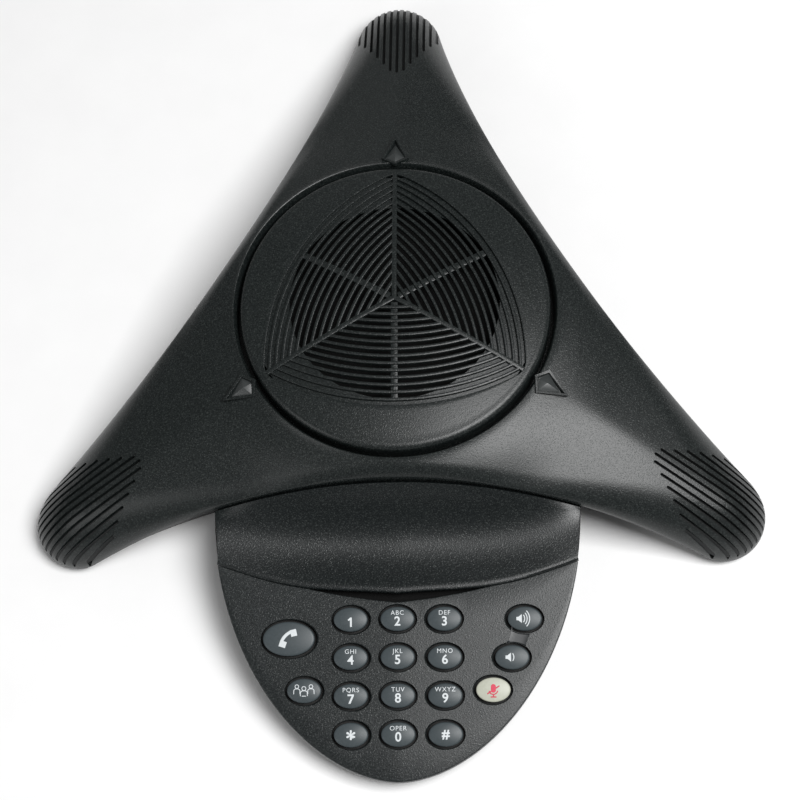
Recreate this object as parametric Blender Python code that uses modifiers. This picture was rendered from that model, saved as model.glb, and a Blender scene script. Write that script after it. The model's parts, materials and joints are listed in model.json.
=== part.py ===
"""Conference speakerphone: a three-armed console with a keypad tongue, as an assembly of separate pieces.

Units are metres, +Z is up, the origin is on the table under the middle of the plan box.
The rear arm points along +Y and the keypad tongue along -Y.
"""
import math

import bmesh
import bpy
from mathutils import Vector

MM = 0.001
GAP = 0.3 * MM
THREE_ARMS = (("rear", 90.0), ("left", 210.0), ("right", 330.0))

# console plan: three equal arms around the speaker hub
HUB = Vector((0.0, 7.4 * MM, 0.0))
WAIST_RADIUS = 74.6 * MM
TIP_DISTANCE = 157.3 * MM
TIP_RADIUS = 19.3 * MM
WAIST_HEIGHT = 48.6 * MM
TIP_EDGE_HEIGHT = 5.5 * MM
ARCH_RADIUS = 208.0 * MM
SKIN = 2.2 * MM
SKIRT = 1.5 * MM
FLOOR_UNDERSIDE = 2.0 * MM
FLOOR_TOP = 3.6 * MM
EDGE_STEPS = (4, 3, 3)

# speaker bay and cover
BAY_RADIUS = 68.3 * MM
BAY_LIP = 1.0 * MM
BAY_WALL_RADIUS = 67.0 * MM
BAY_FLOOR = 45.0 * MM
BAY_OPENING = 54.0 * MM
COVER_RADIUS = 65.2 * MM
COVER_TOP = 64.0 * MM
COVER_DOME = 290.0 * MM
COVER_SKIN = 2.2 * MM
GRILLE_ROWS = 15
GRILLE_SLOT = 1.5 * MM

# keypad tongue
TONGUE_ROOT = -73.6 * MM
TONGUE_LENGTH = 110.4 * MM
TONGUE_HALF_WIDTH = 76.3 * MM
PANEL_FRONT_HEIGHT = 12.1 * MM
PANEL_SLOPE = math.radians(11.6)
PANEL_RIDGE = math.radians(1.35)
PANEL_SKIN = 2.4 * MM
PANEL_TIP = -112.1 * MM
DISH_TIP = -108.1 * MM
DISH_DEPTH = 9.0 * MM

# keys
KEY_PITCH_X = 19.2 * MM
KEY_PITCH_Y = 15.2 * MM
KEY_TOP_ROW = -119.9 * MM
KEY_SIZE = (14.0 * MM, 9.9 * MM)
CALL_KEY_SIZE = (21.3 * MM, 14.0 * MM)
KEY_PROUD = 1.6 * MM
KEY_CLEARANCE = 0.5 * MM
SIDE_KEYS = (
    ("key_phone", -44.6 * MM, -127.2 * MM, CALL_KEY_SIZE),
    ("key_conference", -38.3 * MM, -147.9 * MM, KEY_SIZE),
    ("key_volume_up", 52.0 * MM, -120.0 * MM, KEY_SIZE),
    ("key_volume_down", 46.6 * MM, -135.3 * MM, KEY_SIZE),
    ("key_mute", 38.7 * MM, -148.1 * MM, KEY_SIZE),
)
DIAL_ROWS = (("1", "2", "3"), ("4", "5", "6"), ("7", "8", "9"), ("star", "0", "hash"))

# speaker driver, measured from the hub axis
DRIVER_FLANGE = 41.2 * MM
MAGNET_RADIUS = 30.0 * MM

# line jack in the rear left flank, mouth towards -X
RIBBON_WIDTH = 18.0 * MM
RIBBON_HEIGHT = 12.0 * MM
JACK_MOUTH = -49.0 * MM
JACK_CENTRE = Vector((0.0, 39.8 * MM, 16.0 * MM))
JACK_SIZE = (16.0 * MM, 13.6 * MM, 12.0 * MM)
JACK_SOCKET = (11.6 * MM, 9.6 * MM, 7.6 * MM)

MIC_SLOT_PAIRS = 6
MIC_SLOT_PITCH = 3.0 * MM
SCREW_DISTANCE = 119.0 * MM
TONGUE_SCREW = Vector((0.0, -175.5 * MM, 0.0))

COLOURS = {
    "shell": ((0.030, 0.036, 0.036), 0.5, 0.1),
    "keypad": ((0.034, 0.040, 0.041), 0.5, 0.1),
    "dish": ((0.022, 0.026, 0.027), 0.45, 0.1),
    "base": ((0.016, 0.018, 0.018), 0.6, 0.0),
    "key": ((0.075, 0.092, 0.100), 0.45, 0.0),
    "mute": ((0.72, 0.73, 0.62), 0.45, 0.0),
    "lens": ((0.10, 0.12, 0.12), 0.15, 0.0),
    "rubber": ((0.02, 0.02, 0.02), 0.8, 0.0),
    "board": ((0.02, 0.12, 0.05), 0.5, 0.0),
    "steel": ((0.55, 0.56, 0.57), 0.35, 1.0),
    "ferrite": ((0.06, 0.06, 0.065), 0.5, 0.3),
    "paper": ((0.05, 0.05, 0.05), 0.85, 0.0),
    "copper": ((0.72, 0.36, 0.16), 0.35, 1.0),
    "plastic": ((0.03, 0.03, 0.03), 0.5, 0.0),
    "silicone": ((0.45, 0.45, 0.43), 0.6, 0.0),
    "emitter": ((0.75, 0.75, 0.70), 0.3, 0.0),
}


def clear_scene():
    for thing in list(bpy.data.objects):
        bpy.data.objects.remove(thing, do_unlink=True)


def make_collection(name):
    group = bpy.data.collections.new(name)
    bpy.context.scene.collection.children.link(group)
    return group


def paint(thing, finish):
    colour, roughness, metallic = COLOURS[finish]
    material = bpy.data.materials.new(thing.name)
    material.use_nodes = True
    shader = material.node_tree.nodes["Principled BSDF"]
    shader.inputs["Base Color"].default_value = (*colour, 1.0)
    shader.inputs["Roughness"].default_value = roughness
    shader.inputs["Metallic"].default_value = metallic
    thing.data.materials.append(material)


def add_object(name, body, finish=None):
    mesh = bpy.data.meshes.new(name)
    body.to_mesh(mesh)
    body.free()
    thing = bpy.data.objects.new(name, mesh)
    if finish:
        PARTS.objects.link(thing)
        paint(thing, finish)
    else:
        CUTTERS.objects.link(thing)
        thing.hide_render = True
        thing.display_type = "WIRE"
    return thing


def face_out(body):
    bmesh.ops.recalc_face_normals(body, faces=body.faces)


def box(name, low, high, finish=None):
    body = bmesh.new()
    bmesh.ops.create_cube(body, size=1.0)
    size = [b - a for a, b in zip(low, high)]
    middle = [(a + b) / 2 for a, b in zip(low, high)]
    bmesh.ops.scale(body, vec=size, verts=body.verts)
    bmesh.ops.translate(body, vec=middle, verts=body.verts)
    return add_object(name, body, finish)


def cylinder(name, radius, low, high, centre, finish=None, sides=24):
    body = bmesh.new()
    bmesh.ops.create_cone(body, cap_ends=True, segments=sides, radius1=radius, radius2=radius, depth=high - low)
    bmesh.ops.translate(body, vec=(centre.x, centre.y, (low + high) / 2), verts=body.verts)
    return add_object(name, body, finish)


def turned(name, profile, centre, finish=None, steps=32):
    """A profile of (radius, height) pairs, run down its outer side, turned about the vertical through centre."""
    body = bmesh.new()
    corners = [body.verts.new((radius, 0.0, height)) for radius, height in profile]
    for first, second in zip(corners, corners[1:]):
        body.edges.new((first, second))
    thing = add_object(name, body, finish)
    thing.location = centre
    screw = thing.modifiers.new("turn", "SCREW")
    screw.steps = steps
    screw.render_steps = steps
    screw.use_merge_vertices = True
    screw.merge_threshold = 0.00001
    screw.use_smooth_shade = True
    return thing


def loft(name, rings, finish=None):
    """A closed body through rings of equal point counts, with flat caps."""
    body = bmesh.new()
    rows = [[body.verts.new(point) for point in points] for points in rings]
    for lower, upper in zip(rows, rows[1:]):
        for i in range(len(lower)):
            j = (i + 1) % len(lower)
            body.faces.new((lower[i], lower[j], upper[j], upper[i]))
    body.faces.new(list(reversed(rows[0])))
    body.faces.new(rows[-1])
    face_out(body)
    return add_object(name, body, finish)


def boolean(thing, cutter, operation="DIFFERENCE"):
    step = thing.modifiers.new(operation.lower(), "BOOLEAN")
    step.operation = operation
    step.object = cutter
    step.solver = "EXACT"
    return step


def on_arm(angle, along, across, height=0.0):
    turn = math.radians(angle)
    return Vector((
        HUB.x + along * math.cos(turn) - across * math.sin(turn),
        HUB.y + along * math.sin(turn) + across * math.cos(turn),
        height,
    ))


def side_arc():
    """Radius and centre, in arm coordinates, of the long arc between two arms."""
    gap = WAIST_RADIUS**2 - WAIST_RADIUS * TIP_DISTANCE + TIP_DISTANCE**2 - TIP_RADIUS**2
    radius = gap / (2 * TIP_RADIUS + TIP_DISTANCE - 2 * WAIST_RADIUS)
    reach = WAIST_RADIUS + radius
    return radius, Vector((reach / 2, reach * math.sqrt(0.75)))


ARC_RADIUS, ARC_CENTRE = side_arc()
TIP_CENTRE = Vector((TIP_DISTANCE, 0.0))


def half_outline():
    """Edge points of half an arm, from the waist to the tip, each with its inward normal.

    The normals of the first bay_steps + 1 points meet the speaker bay, and the others the arm's centre line.
    """
    bay_steps, arm_steps, tip_steps = EDGE_STEPS
    touch = TIP_CENTRE + (ARC_CENTRE - TIP_CENTRE).normalized() * TIP_RADIUS
    stops = [Vector((0.0, 0.0)), Vector((BAY_RADIUS, 0.0)), touch]
    turns = [math.atan2(stop.y - ARC_CENTRE.y, stop.x - ARC_CENTRE.x) % (2 * math.pi) for stop in stops]
    bay_turns = [turns[0] + (turns[1] - turns[0]) * i / bay_steps for i in range(bay_steps)]
    arm_turns = [turns[1] + (turns[2] - turns[1]) * i / arm_steps for i in range(arm_steps)]
    points = []
    for turn in bay_turns + arm_turns:
        out = Vector((math.cos(turn), math.sin(turn)))
        points.append((ARC_CENTRE + out * ARC_RADIUS, out))
    turn_start = math.atan2(touch.y, touch.x - TIP_DISTANCE)
    for i in range(tip_steps + 1):
        turn = turn_start * (1 - i / tip_steps)
        out = Vector((math.cos(turn), math.sin(turn)))
        points.append((TIP_CENTRE + out * TIP_RADIUS, -out))
    return points


def edge_height(point):
    """Height of the shell's widest line: a long arch between the legs, level at the tips."""
    across = point.x * math.sqrt(0.75) - abs(point.y) / 2
    arch = WAIST_HEIGHT - across**2 / (2 * ARCH_RADIUS)
    soft = 2.0 * MM
    return (arch + TIP_EDGE_HEIGHT + math.sqrt((arch - TIP_EDGE_HEIGHT) ** 2 + soft**2)) / 2


def crown_height(point):
    """Height of the arm's ridge and flanks before the edge is rounded over."""
    out = point.length - BAY_RADIUS
    fall = 54.5 * MM - 0.2254 * out - 0.828 * out**2
    ramp = min(max(out / (30 * MM), 0.0), 1.0)
    ramp = ramp * ramp * (3 - 2 * ramp)
    soft = 3.0 * MM
    flank = 0.13 * (math.hypot(point.y, soft) - soft)
    return fall - flank * ramp + BAY_LIP * math.exp(-out / (2 * MM))


def roll_width(point):
    """How far in from the edge the rounding starts: narrow at the waist, the whole nose at the tip."""
    reach = (point.length - WAIST_RADIUS) / (TIP_DISTANCE + TIP_RADIUS - WAIST_RADIUS)
    reach = min(max(reach, 0.0), 1.0)
    reach = reach * reach * (3 - 2 * reach)
    return 5.0 * MM + (TIP_RADIUS - 5.0 * MM) * reach


def inner_end(point, normal, meets_bay, bay_radius):
    """Distance from an edge point, along its normal, to the speaker bay or to the arm's centre line."""
    if meets_bay:
        along = -point.dot(normal)
        return along - math.sqrt(max(bay_radius**2 - (point.length_squared - along**2), 0.0))
    return point.y / -normal.y if normal.y < -1e-6 else TIP_RADIUS


def shell_height(point, normal, distance):
    """Height of the console's top face at a distance in from an edge point."""
    edge = edge_height(point)
    share = min(distance / roll_width(point), 1.0)
    rise = math.sqrt(max(1 - (1 - share) ** 2, 0.0))
    return edge + (crown_height(point + normal * distance) - edge) * rise


def face_line(point, normal, meets_bay, skin, bay_radius, roll_steps=3, top_steps=2):
    """Points of one face of the console's wall, from the rim in; a skin above zero gives the inside face."""
    length = inner_end(point, normal, meets_bay, bay_radius)
    width = min(roll_width(point), length)
    distances = [width * (1 - math.cos(math.pi / 2 * k / roll_steps)) for k in range(roll_steps + 1)]
    distances += [width + (length - width) * k / top_steps for k in range(1, top_steps + 1)]
    rim = point + normal * skin
    line = [Vector((rim.x, max(rim.y, 0.0), edge_height(point) - SKIRT))]
    for distance in distances:
        inward = skin + distance * (length - skin) / length
        place = point + normal * inward
        line.append(Vector((place.x, max(place.y, 0.0), shell_height(point, normal, inward) - 1.15 * skin)))
    return line


def bay_line(end):
    """Section of the speaker bay's wall and ledge, in the direction of a point on the bay's edge."""
    back = BAY_WALL_RADIUS + SKIN
    section = ((BAY_WALL_RADIUS + 0.4 * MM, 53.0 * MM), (BAY_WALL_RADIUS, 50.0 * MM),
               (BAY_WALL_RADIUS, BAY_FLOOR), (BAY_OPENING, BAY_FLOOR), (BAY_OPENING, BAY_FLOOR - SKIN),
               (back, BAY_FLOOR - SKIN), (back, 47.0 * MM), (back, 50.0 * MM))
    out = end.xy.normalized()
    return [Vector((out.x * radius, out.y * radius, height)) for radius, height in section]


def shell_body():
    """The console's top wall as one closed skin: six mirrored half arms, each drawn section by section."""
    sections = []
    back = BAY_WALL_RADIUS + SKIN + 0.2 * MM
    bay_steps = EDGE_STEPS[0]
    for i, (point, normal) in enumerate(half_outline()):
        meets_bay = i <= bay_steps
        outside = face_line(point, normal, meets_bay, 0.0, BAY_RADIUS)
        inside = face_line(point, normal, meets_bay, SKIN, back)
        if i == bay_steps:
            inside[-1].xy = (back, 0.0)
        bay = bay_line(outside[-1]) if meets_bay else []
        sections.append((inside[::-1] + outside, bay))
    body = bmesh.new()
    for _, angle in THREE_ARMS:
        for flip in (1.0, -1.0):
            grid = []
            for wall, bay in sections:
                grid.append([body.verts.new(on_arm(angle, p.x, p.y * flip, p.z)) for p in wall + bay])
            wall_count = len(sections[0][0])
            for i, (left, right) in enumerate(zip(grid, grid[1:])):
                closed = i < bay_steps
                count = len(left) if closed else wall_count - 1
                for k in range(count):
                    n = (k + 1) % len(left)
                    body.faces.new((left[k], left[n], right[n], right[k]))
    bmesh.ops.remove_doubles(body, verts=body.verts, dist=0.00002)
    bmesh.ops.dissolve_degenerate(body, edges=body.edges, dist=0.00002)
    face_out(body)
    return body


def kite(angle, tip_in, tip_out, widest, half_width, low, high):
    """Two rings of a kite, point outwards along the arm; high is a function of distance from the hub."""
    # the two tips stay just off the shell's centre edge, which an exact cut can't share
    off = 0.02 * MM
    corners = ((tip_in, off), (widest, half_width), (tip_out, off), (widest, -half_width))
    bottom = [on_arm(angle, along, across, low) for along, across in corners]
    top = [on_arm(angle, along, across, high(along)) for along, across in corners]
    return [bottom, top]


def ridge_at(along):
    return crown_height(Vector((along, 0.0))) - BAY_LIP * math.exp(-(along - BAY_RADIUS) / (2 * MM))


def make_top_shell():
    shell = add_object("top_shell", shell_body(), "shell")
    for place, angle in THREE_ARMS:
        rings = kite(angle, 66.4 * MM, 82.2 * MM, 70.4 * MM, 6.4 * MM, 47.0 * MM,
                     lambda along: ridge_at(along) + 0.9 * MM)
        boolean(shell, loft("bezel_" + place, rings), "UNION")
    for place, angle in THREE_ARMS:
        hole = kite(angle, 67.4 * MM, 78.5 * MM, 71.0 * MM, 4.6 * MM, 40.0 * MM, lambda along: 60.0 * MM)
        boolean(shell, loft("lens_hole_" + place, hole))
    for place, angle in THREE_ARMS:
        centre = on_arm(angle, SCREW_DISTANCE, 0.03 * MM)
        boss = cylinder("boss_" + place, 3.6 * MM, FLOOR_TOP + GAP, 39.2 * MM, centre, sides=12)
        boolean(shell, boss, "UNION")
    for place, angle in THREE_ARMS:
        centre = on_arm(angle, SCREW_DISTANCE, 0.03 * MM)
        boolean(shell, cylinder("boss_bore_" + place, 1.7 * MM, 0.0, 20.0 * MM, centre, sides=10))
    boolean(shell, mic_slots())
    return shell


def mic_slots():
    """Saw cuts along the noses of the arms, in one cutter; their inner ends make a V on each arm."""
    body = bmesh.new()
    half = 0.6 * MM
    end = 185.0 * MM
    for _, angle in THREE_ARMS:
        for i in range(-MIC_SLOT_PAIRS, MIC_SLOT_PAIRS + 1):
            start = 123.3 * MM + (0.0 if i == 0 else 1.3 * MM + 2.9 * MM * (abs(i) - 1))
            across = i * MIC_SLOT_PITCH
            corners = ((start, across - half), (end, across - half), (end, across + half), (start, across + half))
            bottom = [body.verts.new(on_arm(angle, along, side, 7.2 * MM)) for along, side in corners]
            top = [body.verts.new(on_arm(angle, along, side, 45.0 * MM)) for along, side in corners]
            for k in range(4):
                n = (k + 1) % 4
                body.faces.new((bottom[k], bottom[n], top[n], top[k]))
            body.faces.new(bottom[::-1])
            body.faces.new(top)
    face_out(body)
    return add_object("mic_slots", body)


def star_ring(inset, height):
    """One ring round the whole console; inset and height are functions of an edge point."""
    points = []
    half = half_outline()
    for _, angle in THREE_ARMS:
        for flip, run in ((-1.0, half), (1.0, list(reversed(half))[1:-1])):
            for point, normal in run:
                place = point + normal * inset(point)
                points.append(on_arm(angle, place.x, place.y * flip, height(point)))
    return points


def crown_ring(height):
    """Small round ring that closes a star-shaped loft at its middle, point for point with star_ring."""
    points = []
    for place in star_ring(lambda p: 0.0, lambda p: 0.0):
        out = (place.xy - HUB.xy).normalized() * 15 * MM
        points.append(Vector((HUB.x + out.x, HUB.y + out.y, height)))
    return points


def tongue_ring(inset, height, steps=14):
    """Outline of the keypad tongue, closed across its root; height is a function of x and y."""
    right = []
    for i in range(steps + 1):
        turn = math.pi / 2 * i / steps
        x = (TONGUE_HALF_WIDTH - inset) * math.cos(turn) ** 1.1
        right.append((x, TONGUE_ROOT - (TONGUE_LENGTH - inset) * math.sin(turn)))
    outline = right + [(-x, y) for x, y in reversed(right[:-1])]
    root = TONGUE_ROOT + 30 * MM - inset
    outline += [(-TONGUE_HALF_WIDTH + inset, root), (TONGUE_HALF_WIDTH - inset, root)]
    return [Vector((x, y, height(x, y))) for x, y in outline]


def panel_height(x, y):
    front = TONGUE_ROOT - TONGUE_LENGTH
    return PANEL_FRONT_HEIGHT + (y - front) * math.tan(PANEL_SLOPE) - abs(x) * math.tan(PANEL_RIDGE)


def rim_height(point):
    return edge_height(point) - SKIRT - GAP


def flank_inset(point):
    """How far the lower housing's foot stands in from the console's edge."""
    return 1.5 * MM + 0.28 * (rim_height(point) - FLOOR_UNDERSIDE)


def under_panel(x, y):
    return panel_height(x, y) - PANEL_SKIN - GAP


def make_base_shell():
    """Lower housing under the console: a tray with tapered flanks, open at the top."""
    rings = [
        star_ring(flank_inset, lambda p: FLOOR_UNDERSIDE),
        star_ring(lambda p: 0.4 * MM, rim_height),
        star_ring(lambda p: 2.4 * MM, rim_height),
        star_ring(lambda p: flank_inset(p) + 2.0 * MM, lambda p: FLOOR_TOP),
    ]
    base = loft("base_shell", rings, "base")
    half_width = JACK_SIZE[1] / 2 + GAP
    half_height = JACK_SIZE[2] / 2 + GAP
    low = (-80 * MM, JACK_CENTRE.y - half_width, JACK_CENTRE.z - half_height)
    high = (JACK_MOUTH + 2 * MM, JACK_CENTRE.y + half_width, JACK_CENTRE.z + half_height)
    boolean(base, box("jack_window", low, high))
    low = (-RIBBON_WIDTH / 2 - 1 * MM, -70 * MM, RIBBON_HEIGHT - 1.3 * MM)
    high = (RIBBON_WIDTH / 2 + 1 * MM, -45 * MM, RIBBON_HEIGHT + 1.3 * MM)
    boolean(base, box("ribbon_slot", low, high))
    for place, angle in THREE_ARMS:
        centre = on_arm(angle, SCREW_DISTANCE, 0.0)
        boolean(base, cylinder("screw_hole_" + place, 2.0 * MM, 0.0, 8 * MM, centre, sides=12))


def make_tongue_base():
    """Lower housing under the keypad, open at the top, its back cut to the console's front flank."""
    rings = [
        tongue_ring(3.0 * MM, lambda x, y: FLOOR_UNDERSIDE),
        tongue_ring(0.3 * MM, under_panel),
        tongue_ring(2.3 * MM, under_panel),
        tongue_ring(5.0 * MM, lambda x, y: FLOOR_TOP),
    ]
    base = loft("tongue_base", rings, "base")
    flank = [
        star_ring(lambda p: flank_inset(p) - GAP, lambda p: -4.0 * MM),
        star_ring(lambda p: flank_inset(p) - GAP, lambda p: FLOOR_UNDERSIDE),
        star_ring(lambda p: 0.1 * MM, rim_height),
        star_ring(lambda p: 0.1 * MM, lambda p: rim_height(p) + 14 * MM),
        crown_ring(WAIST_HEIGHT + 20 * MM),
    ]
    boolean(base, loft("console_clearance", flank))
    boolean(base, cylinder("screw_hole_front", 2.0 * MM, 0.0, 6.0 * MM, TONGUE_SCREW, sides=12))


def rim_line(x):
    """Where the console's front edge is above x: distance in front of the hub, and height."""
    radius = ARC_RADIUS
    reach = WAIST_RADIUS + radius
    y = HUB.y - (reach - math.sqrt(radius**2 - x**2))
    return y, WAIST_HEIGHT - x**2 / (2 * ARCH_RADIUS)


def make_dish_panel(across_steps=14, down_steps=7):
    """Scooped blank between the console's front edge and the keypad, with a sunk ledge along its front."""
    body = bmesh.new()
    rows = []
    for i in range(across_steps + 1):
        share = -1 + 2 * i / across_steps
        top_x = 75.4 * MM * share
        low_x = 74.2 * MM * share
        top_y, top_z = rim_line(top_x)
        top = Vector((top_x, top_y - 1.0 * MM, top_z - 2.6 * MM))
        low_y = DISH_TIP + 13.0 * MM * share**2
        low = Vector((low_x, low_y, panel_height(low_x, low_y) + 0.3 * MM))
        scoop = DISH_DEPTH * (1 - share**2)
        column = []
        for k in range(down_steps + 1):
            down = k / down_steps
            place = top.lerp(low, down)
            place.z -= scoop * math.sin(math.pi * down**0.8)
            column.append(place)
        spread = 1 - share**2
        column.append(low + Vector((0, -0.2 * MM, -0.8 * MM - 5.4 * MM * math.sqrt(spread))))
        column.append(column[-1] + Vector((0, -6.0 * MM * spread - 0.05 * MM, -1.2 * MM * spread)))
        rows.append([body.verts.new(place) for place in column])
    for left, right in zip(rows, rows[1:]):
        for k in range(len(left) - 1):
            body.faces.new((left[k], left[k + 1], right[k + 1], right[k]))
    dish = add_object("dish_panel", body, "dish")
    wall = dish.modifiers.new("wall", "SOLIDIFY")
    wall.thickness = 1.2 * MM
    wall.offset = -1.0
    return dish


def panel_tip_line(x):
    return PANEL_TIP + 0.14 * abs(x) + 0.944 * x**2


def make_keypad_panel():
    """Top plate of the tongue: half of it is drawn on its slope, then mirrored, so a soft ridge runs down it."""
    body = bmesh.new()
    outline = []
    corner = 74.6 * MM
    back_steps = 8
    for i in range(back_steps + 1):
        x = corner * i / back_steps
        outline.append((x, panel_tip_line(x)))
    start = math.asin((TONGUE_ROOT - panel_tip_line(corner)) / TONGUE_LENGTH)
    side_steps = 14
    for i in range(1, side_steps + 1):
        turn = start + (math.pi / 2 - start) * i / side_steps
        x = TONGUE_HALF_WIDTH * math.cos(turn) ** 1.1 if i < side_steps else 0.0
        outline.append((x, TONGUE_ROOT - TONGUE_LENGTH * math.sin(turn)))
    top = [body.verts.new((x, y, panel_height(x, y))) for x, y in outline]
    low = [body.verts.new((x, y, panel_height(x, y) - PANEL_SKIN)) for x, y in outline]
    body.faces.new(top)
    body.faces.new(low[::-1])
    for i in range(len(outline) - 1):
        body.faces.new((top[i], top[i + 1], low[i + 1], low[i]))
    face_out(body)
    panel = add_object("keypad_panel", body, "keypad")
    halves = panel.modifiers.new("halves", "MIRROR")
    halves.merge_threshold = 0.00001
    edge = panel.modifiers.new("edge", "BEVEL")
    edge.width = 0.8 * MM
    edge.segments = 1
    edge.limit_method = "ANGLE"
    edge.angle_limit = math.radians(60)
    post = cylinder("tongue_post", 3.2 * MM, FLOOR_TOP + GAP, 12.5 * MM, TONGUE_SCREW, sides=12)
    boolean(panel, post, "UNION")
    bore = cylinder("tongue_post_bore", 1.7 * MM, 0.0, 11.0 * MM, TONGUE_SCREW, sides=10)
    boolean(panel, bore)
    for name, x, y, size in key_places():
        boolean(panel, key_hole(name, x, y, size))
    return panel


def key_places():
    places = []
    for row, labels in enumerate(DIAL_ROWS):
        for column, label in enumerate(labels):
            x = (column - 1) * KEY_PITCH_X
            places.append(("key_" + label, x, KEY_TOP_ROW - row * KEY_PITCH_Y, KEY_SIZE))
    return places + list(SIDE_KEYS)


def stand_on_panel(thing, x, y, size):
    """Places a turned piece on the keypad's slope and gives it the key's oval outline."""
    thing.location = (x, y, panel_height(x, y))
    thing.rotation_euler = (PANEL_SLOPE, 0.0, 0.0)
    thing.scale = (1.0, size[1] / size[0], 1.0)


def key_hole(name, x, y, size):
    radius = size[0] / 2 + KEY_CLEARANCE
    body = bmesh.new()
    bmesh.ops.create_cone(body, cap_ends=True, segments=16, radius1=radius, radius2=radius, depth=12 * MM)
    hole = add_object("hole_" + name, body)
    stand_on_panel(hole, x, y, [width + 2 * KEY_CLEARANCE for width in size])
    return hole


def make_key(name, x, y, size):
    """Keycap: a shallow dome above the panel and a retaining flange under it; its origin is on its slide."""
    radius = size[0] / 2
    low = -PANEL_SKIN - 1.0 * MM
    profile = [
        (0.0, KEY_PROUD), (radius * 0.6, KEY_PROUD - 0.25 * MM), (radius - 0.5 * MM, KEY_PROUD - 0.8 * MM),
        (radius, KEY_PROUD - 1.4 * MM), (radius, -PANEL_SKIN - 0.4 * MM),
        (radius + 1.2 * MM, -PANEL_SKIN - 0.4 * MM), (radius + 1.2 * MM, low), (0.0, low),
    ]
    finish = "mute" if name == "key_mute" else "key"
    key = turned(name, profile, (0.0, 0.0, 0.0), finish, steps=16)
    stand_on_panel(key, x, y, size)
    return key


def panel_sheet(name, depth, thickness, outline, finish):
    """A flat sheet that lies under the keypad panel at the given depth; outline is (x, y) points on the slope."""
    body = bmesh.new()
    middle_y = sum(y for _, y in outline) / len(outline)
    corners = [body.verts.new((x, (y - middle_y) / math.cos(PANEL_SLOPE), 0.0)) for x, y in outline]
    face = body.faces.new(corners)
    grown = bmesh.ops.extrude_face_region(body, geom=[face])["geom"]
    moved = [g for g in grown if isinstance(g, bmesh.types.BMVert)]
    bmesh.ops.translate(body, vec=(0, 0, -thickness), verts=moved)
    face_out(body)
    sheet = add_object(name, body, finish)
    sheet.location = (0.0, middle_y, panel_height(0.0, middle_y) - depth)
    sheet.rotation_euler = (PANEL_SLOPE, 0.0, 0.0)
    return sheet


def sheet_outline(margin):
    """Board outline: the tongue's outline pulled in, cut off straight behind the top row of keys."""
    points = []
    for turn in (28, 36, 44, 52, 60, 68, 74):
        angle = math.radians(turn)
        x = (TONGUE_HALF_WIDTH - margin) * math.cos(angle) ** 1.1
        points.append((x, TONGUE_ROOT - (TONGUE_LENGTH - margin) * math.sin(angle)))
    return points + [(-x, y) for x, y in reversed(points)]


def make_keypad_stack():
    outline = sheet_outline(9.0 * MM)
    panel_sheet("keymat", 6.2 * MM, 0.8 * MM, outline, "silicone")
    panel_sheet("keypad_board", 7.5 * MM, 1.0 * MM, outline, "board")


def dome_height(radius):
    return COVER_TOP - (COVER_DOME - math.sqrt(COVER_DOME**2 - radius**2))


def make_speaker_cover():
    """Domed round cover with a skirt, cut by the three fields of grille slots."""
    outer = [(0.0, COVER_TOP)]
    outer += [(radius * MM, dome_height(radius * MM)) for radius in (38, 62)]
    outer += [(64.6 * MM, 56.2 * MM), (COVER_RADIUS, 54.4 * MM), (COVER_RADIUS, BAY_FLOOR + GAP)]
    inner = [(COVER_RADIUS - COVER_SKIN, BAY_FLOOR + GAP), (COVER_RADIUS - COVER_SKIN, 54.4 * MM)]
    inner += [(radius * MM, dome_height(radius * MM) - COVER_SKIN) for radius in (61, 36, 0)]
    cover = turned("speaker_cover", outer + inner, HUB, "shell", steps=24)
    for place, angle in (("front", 270.0), ("right", 30.0), ("left", 150.0)):
        boolean(cover, grille_cutter(place, angle))
    return cover


def slot_line(row):
    """Reach along the spokes and at the middle of one grille slot."""
    spoke = 1.3 * MM + 5.37 * MM * row - 0.08 * MM * row**2
    return spoke, 3.3 * MM + 3.05 * MM * row


def grille_cutter(place, angle, steps=2):
    """Slots of one sector: arcs between two spokes, bulging outwards; the outermost rows stay blind."""
    body = bmesh.new()
    for row in range(1, GRILLE_ROWS):
        spoke, middle = slot_line(row)
        half_chord = spoke * math.sin(math.radians(60)) - 1.6 * MM
        rise = middle - spoke / 2
        lines = []
        for side in (GRILLE_SLOT / 2, -GRILLE_SLOT / 2):
            line = []
            for i in range(steps + 1):
                across = half_chord * (-1 + 2 * i / steps)
                along = spoke / 2 + rise * (1 - (across / half_chord) ** 2) + side
                line.append((along, across))
            lines.append(line)
        outline = lines[0] + lines[1][::-1]
        low = 40.0 * MM
        bottom = [body.verts.new(on_arm(angle, along, across, low)) for along, across in outline]
        top = [body.verts.new(on_arm(angle, along, across, COVER_TOP + 4 * MM)) for along, across in outline]
        for i in range(len(outline)):
            j = (i + 1) % len(outline)
            body.faces.new((bottom[i], bottom[j], top[j], top[i]))
        body.faces.new(bottom[::-1])
        body.faces.new(top)
    face_out(body)
    return add_object("grille_" + place, body)


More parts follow.
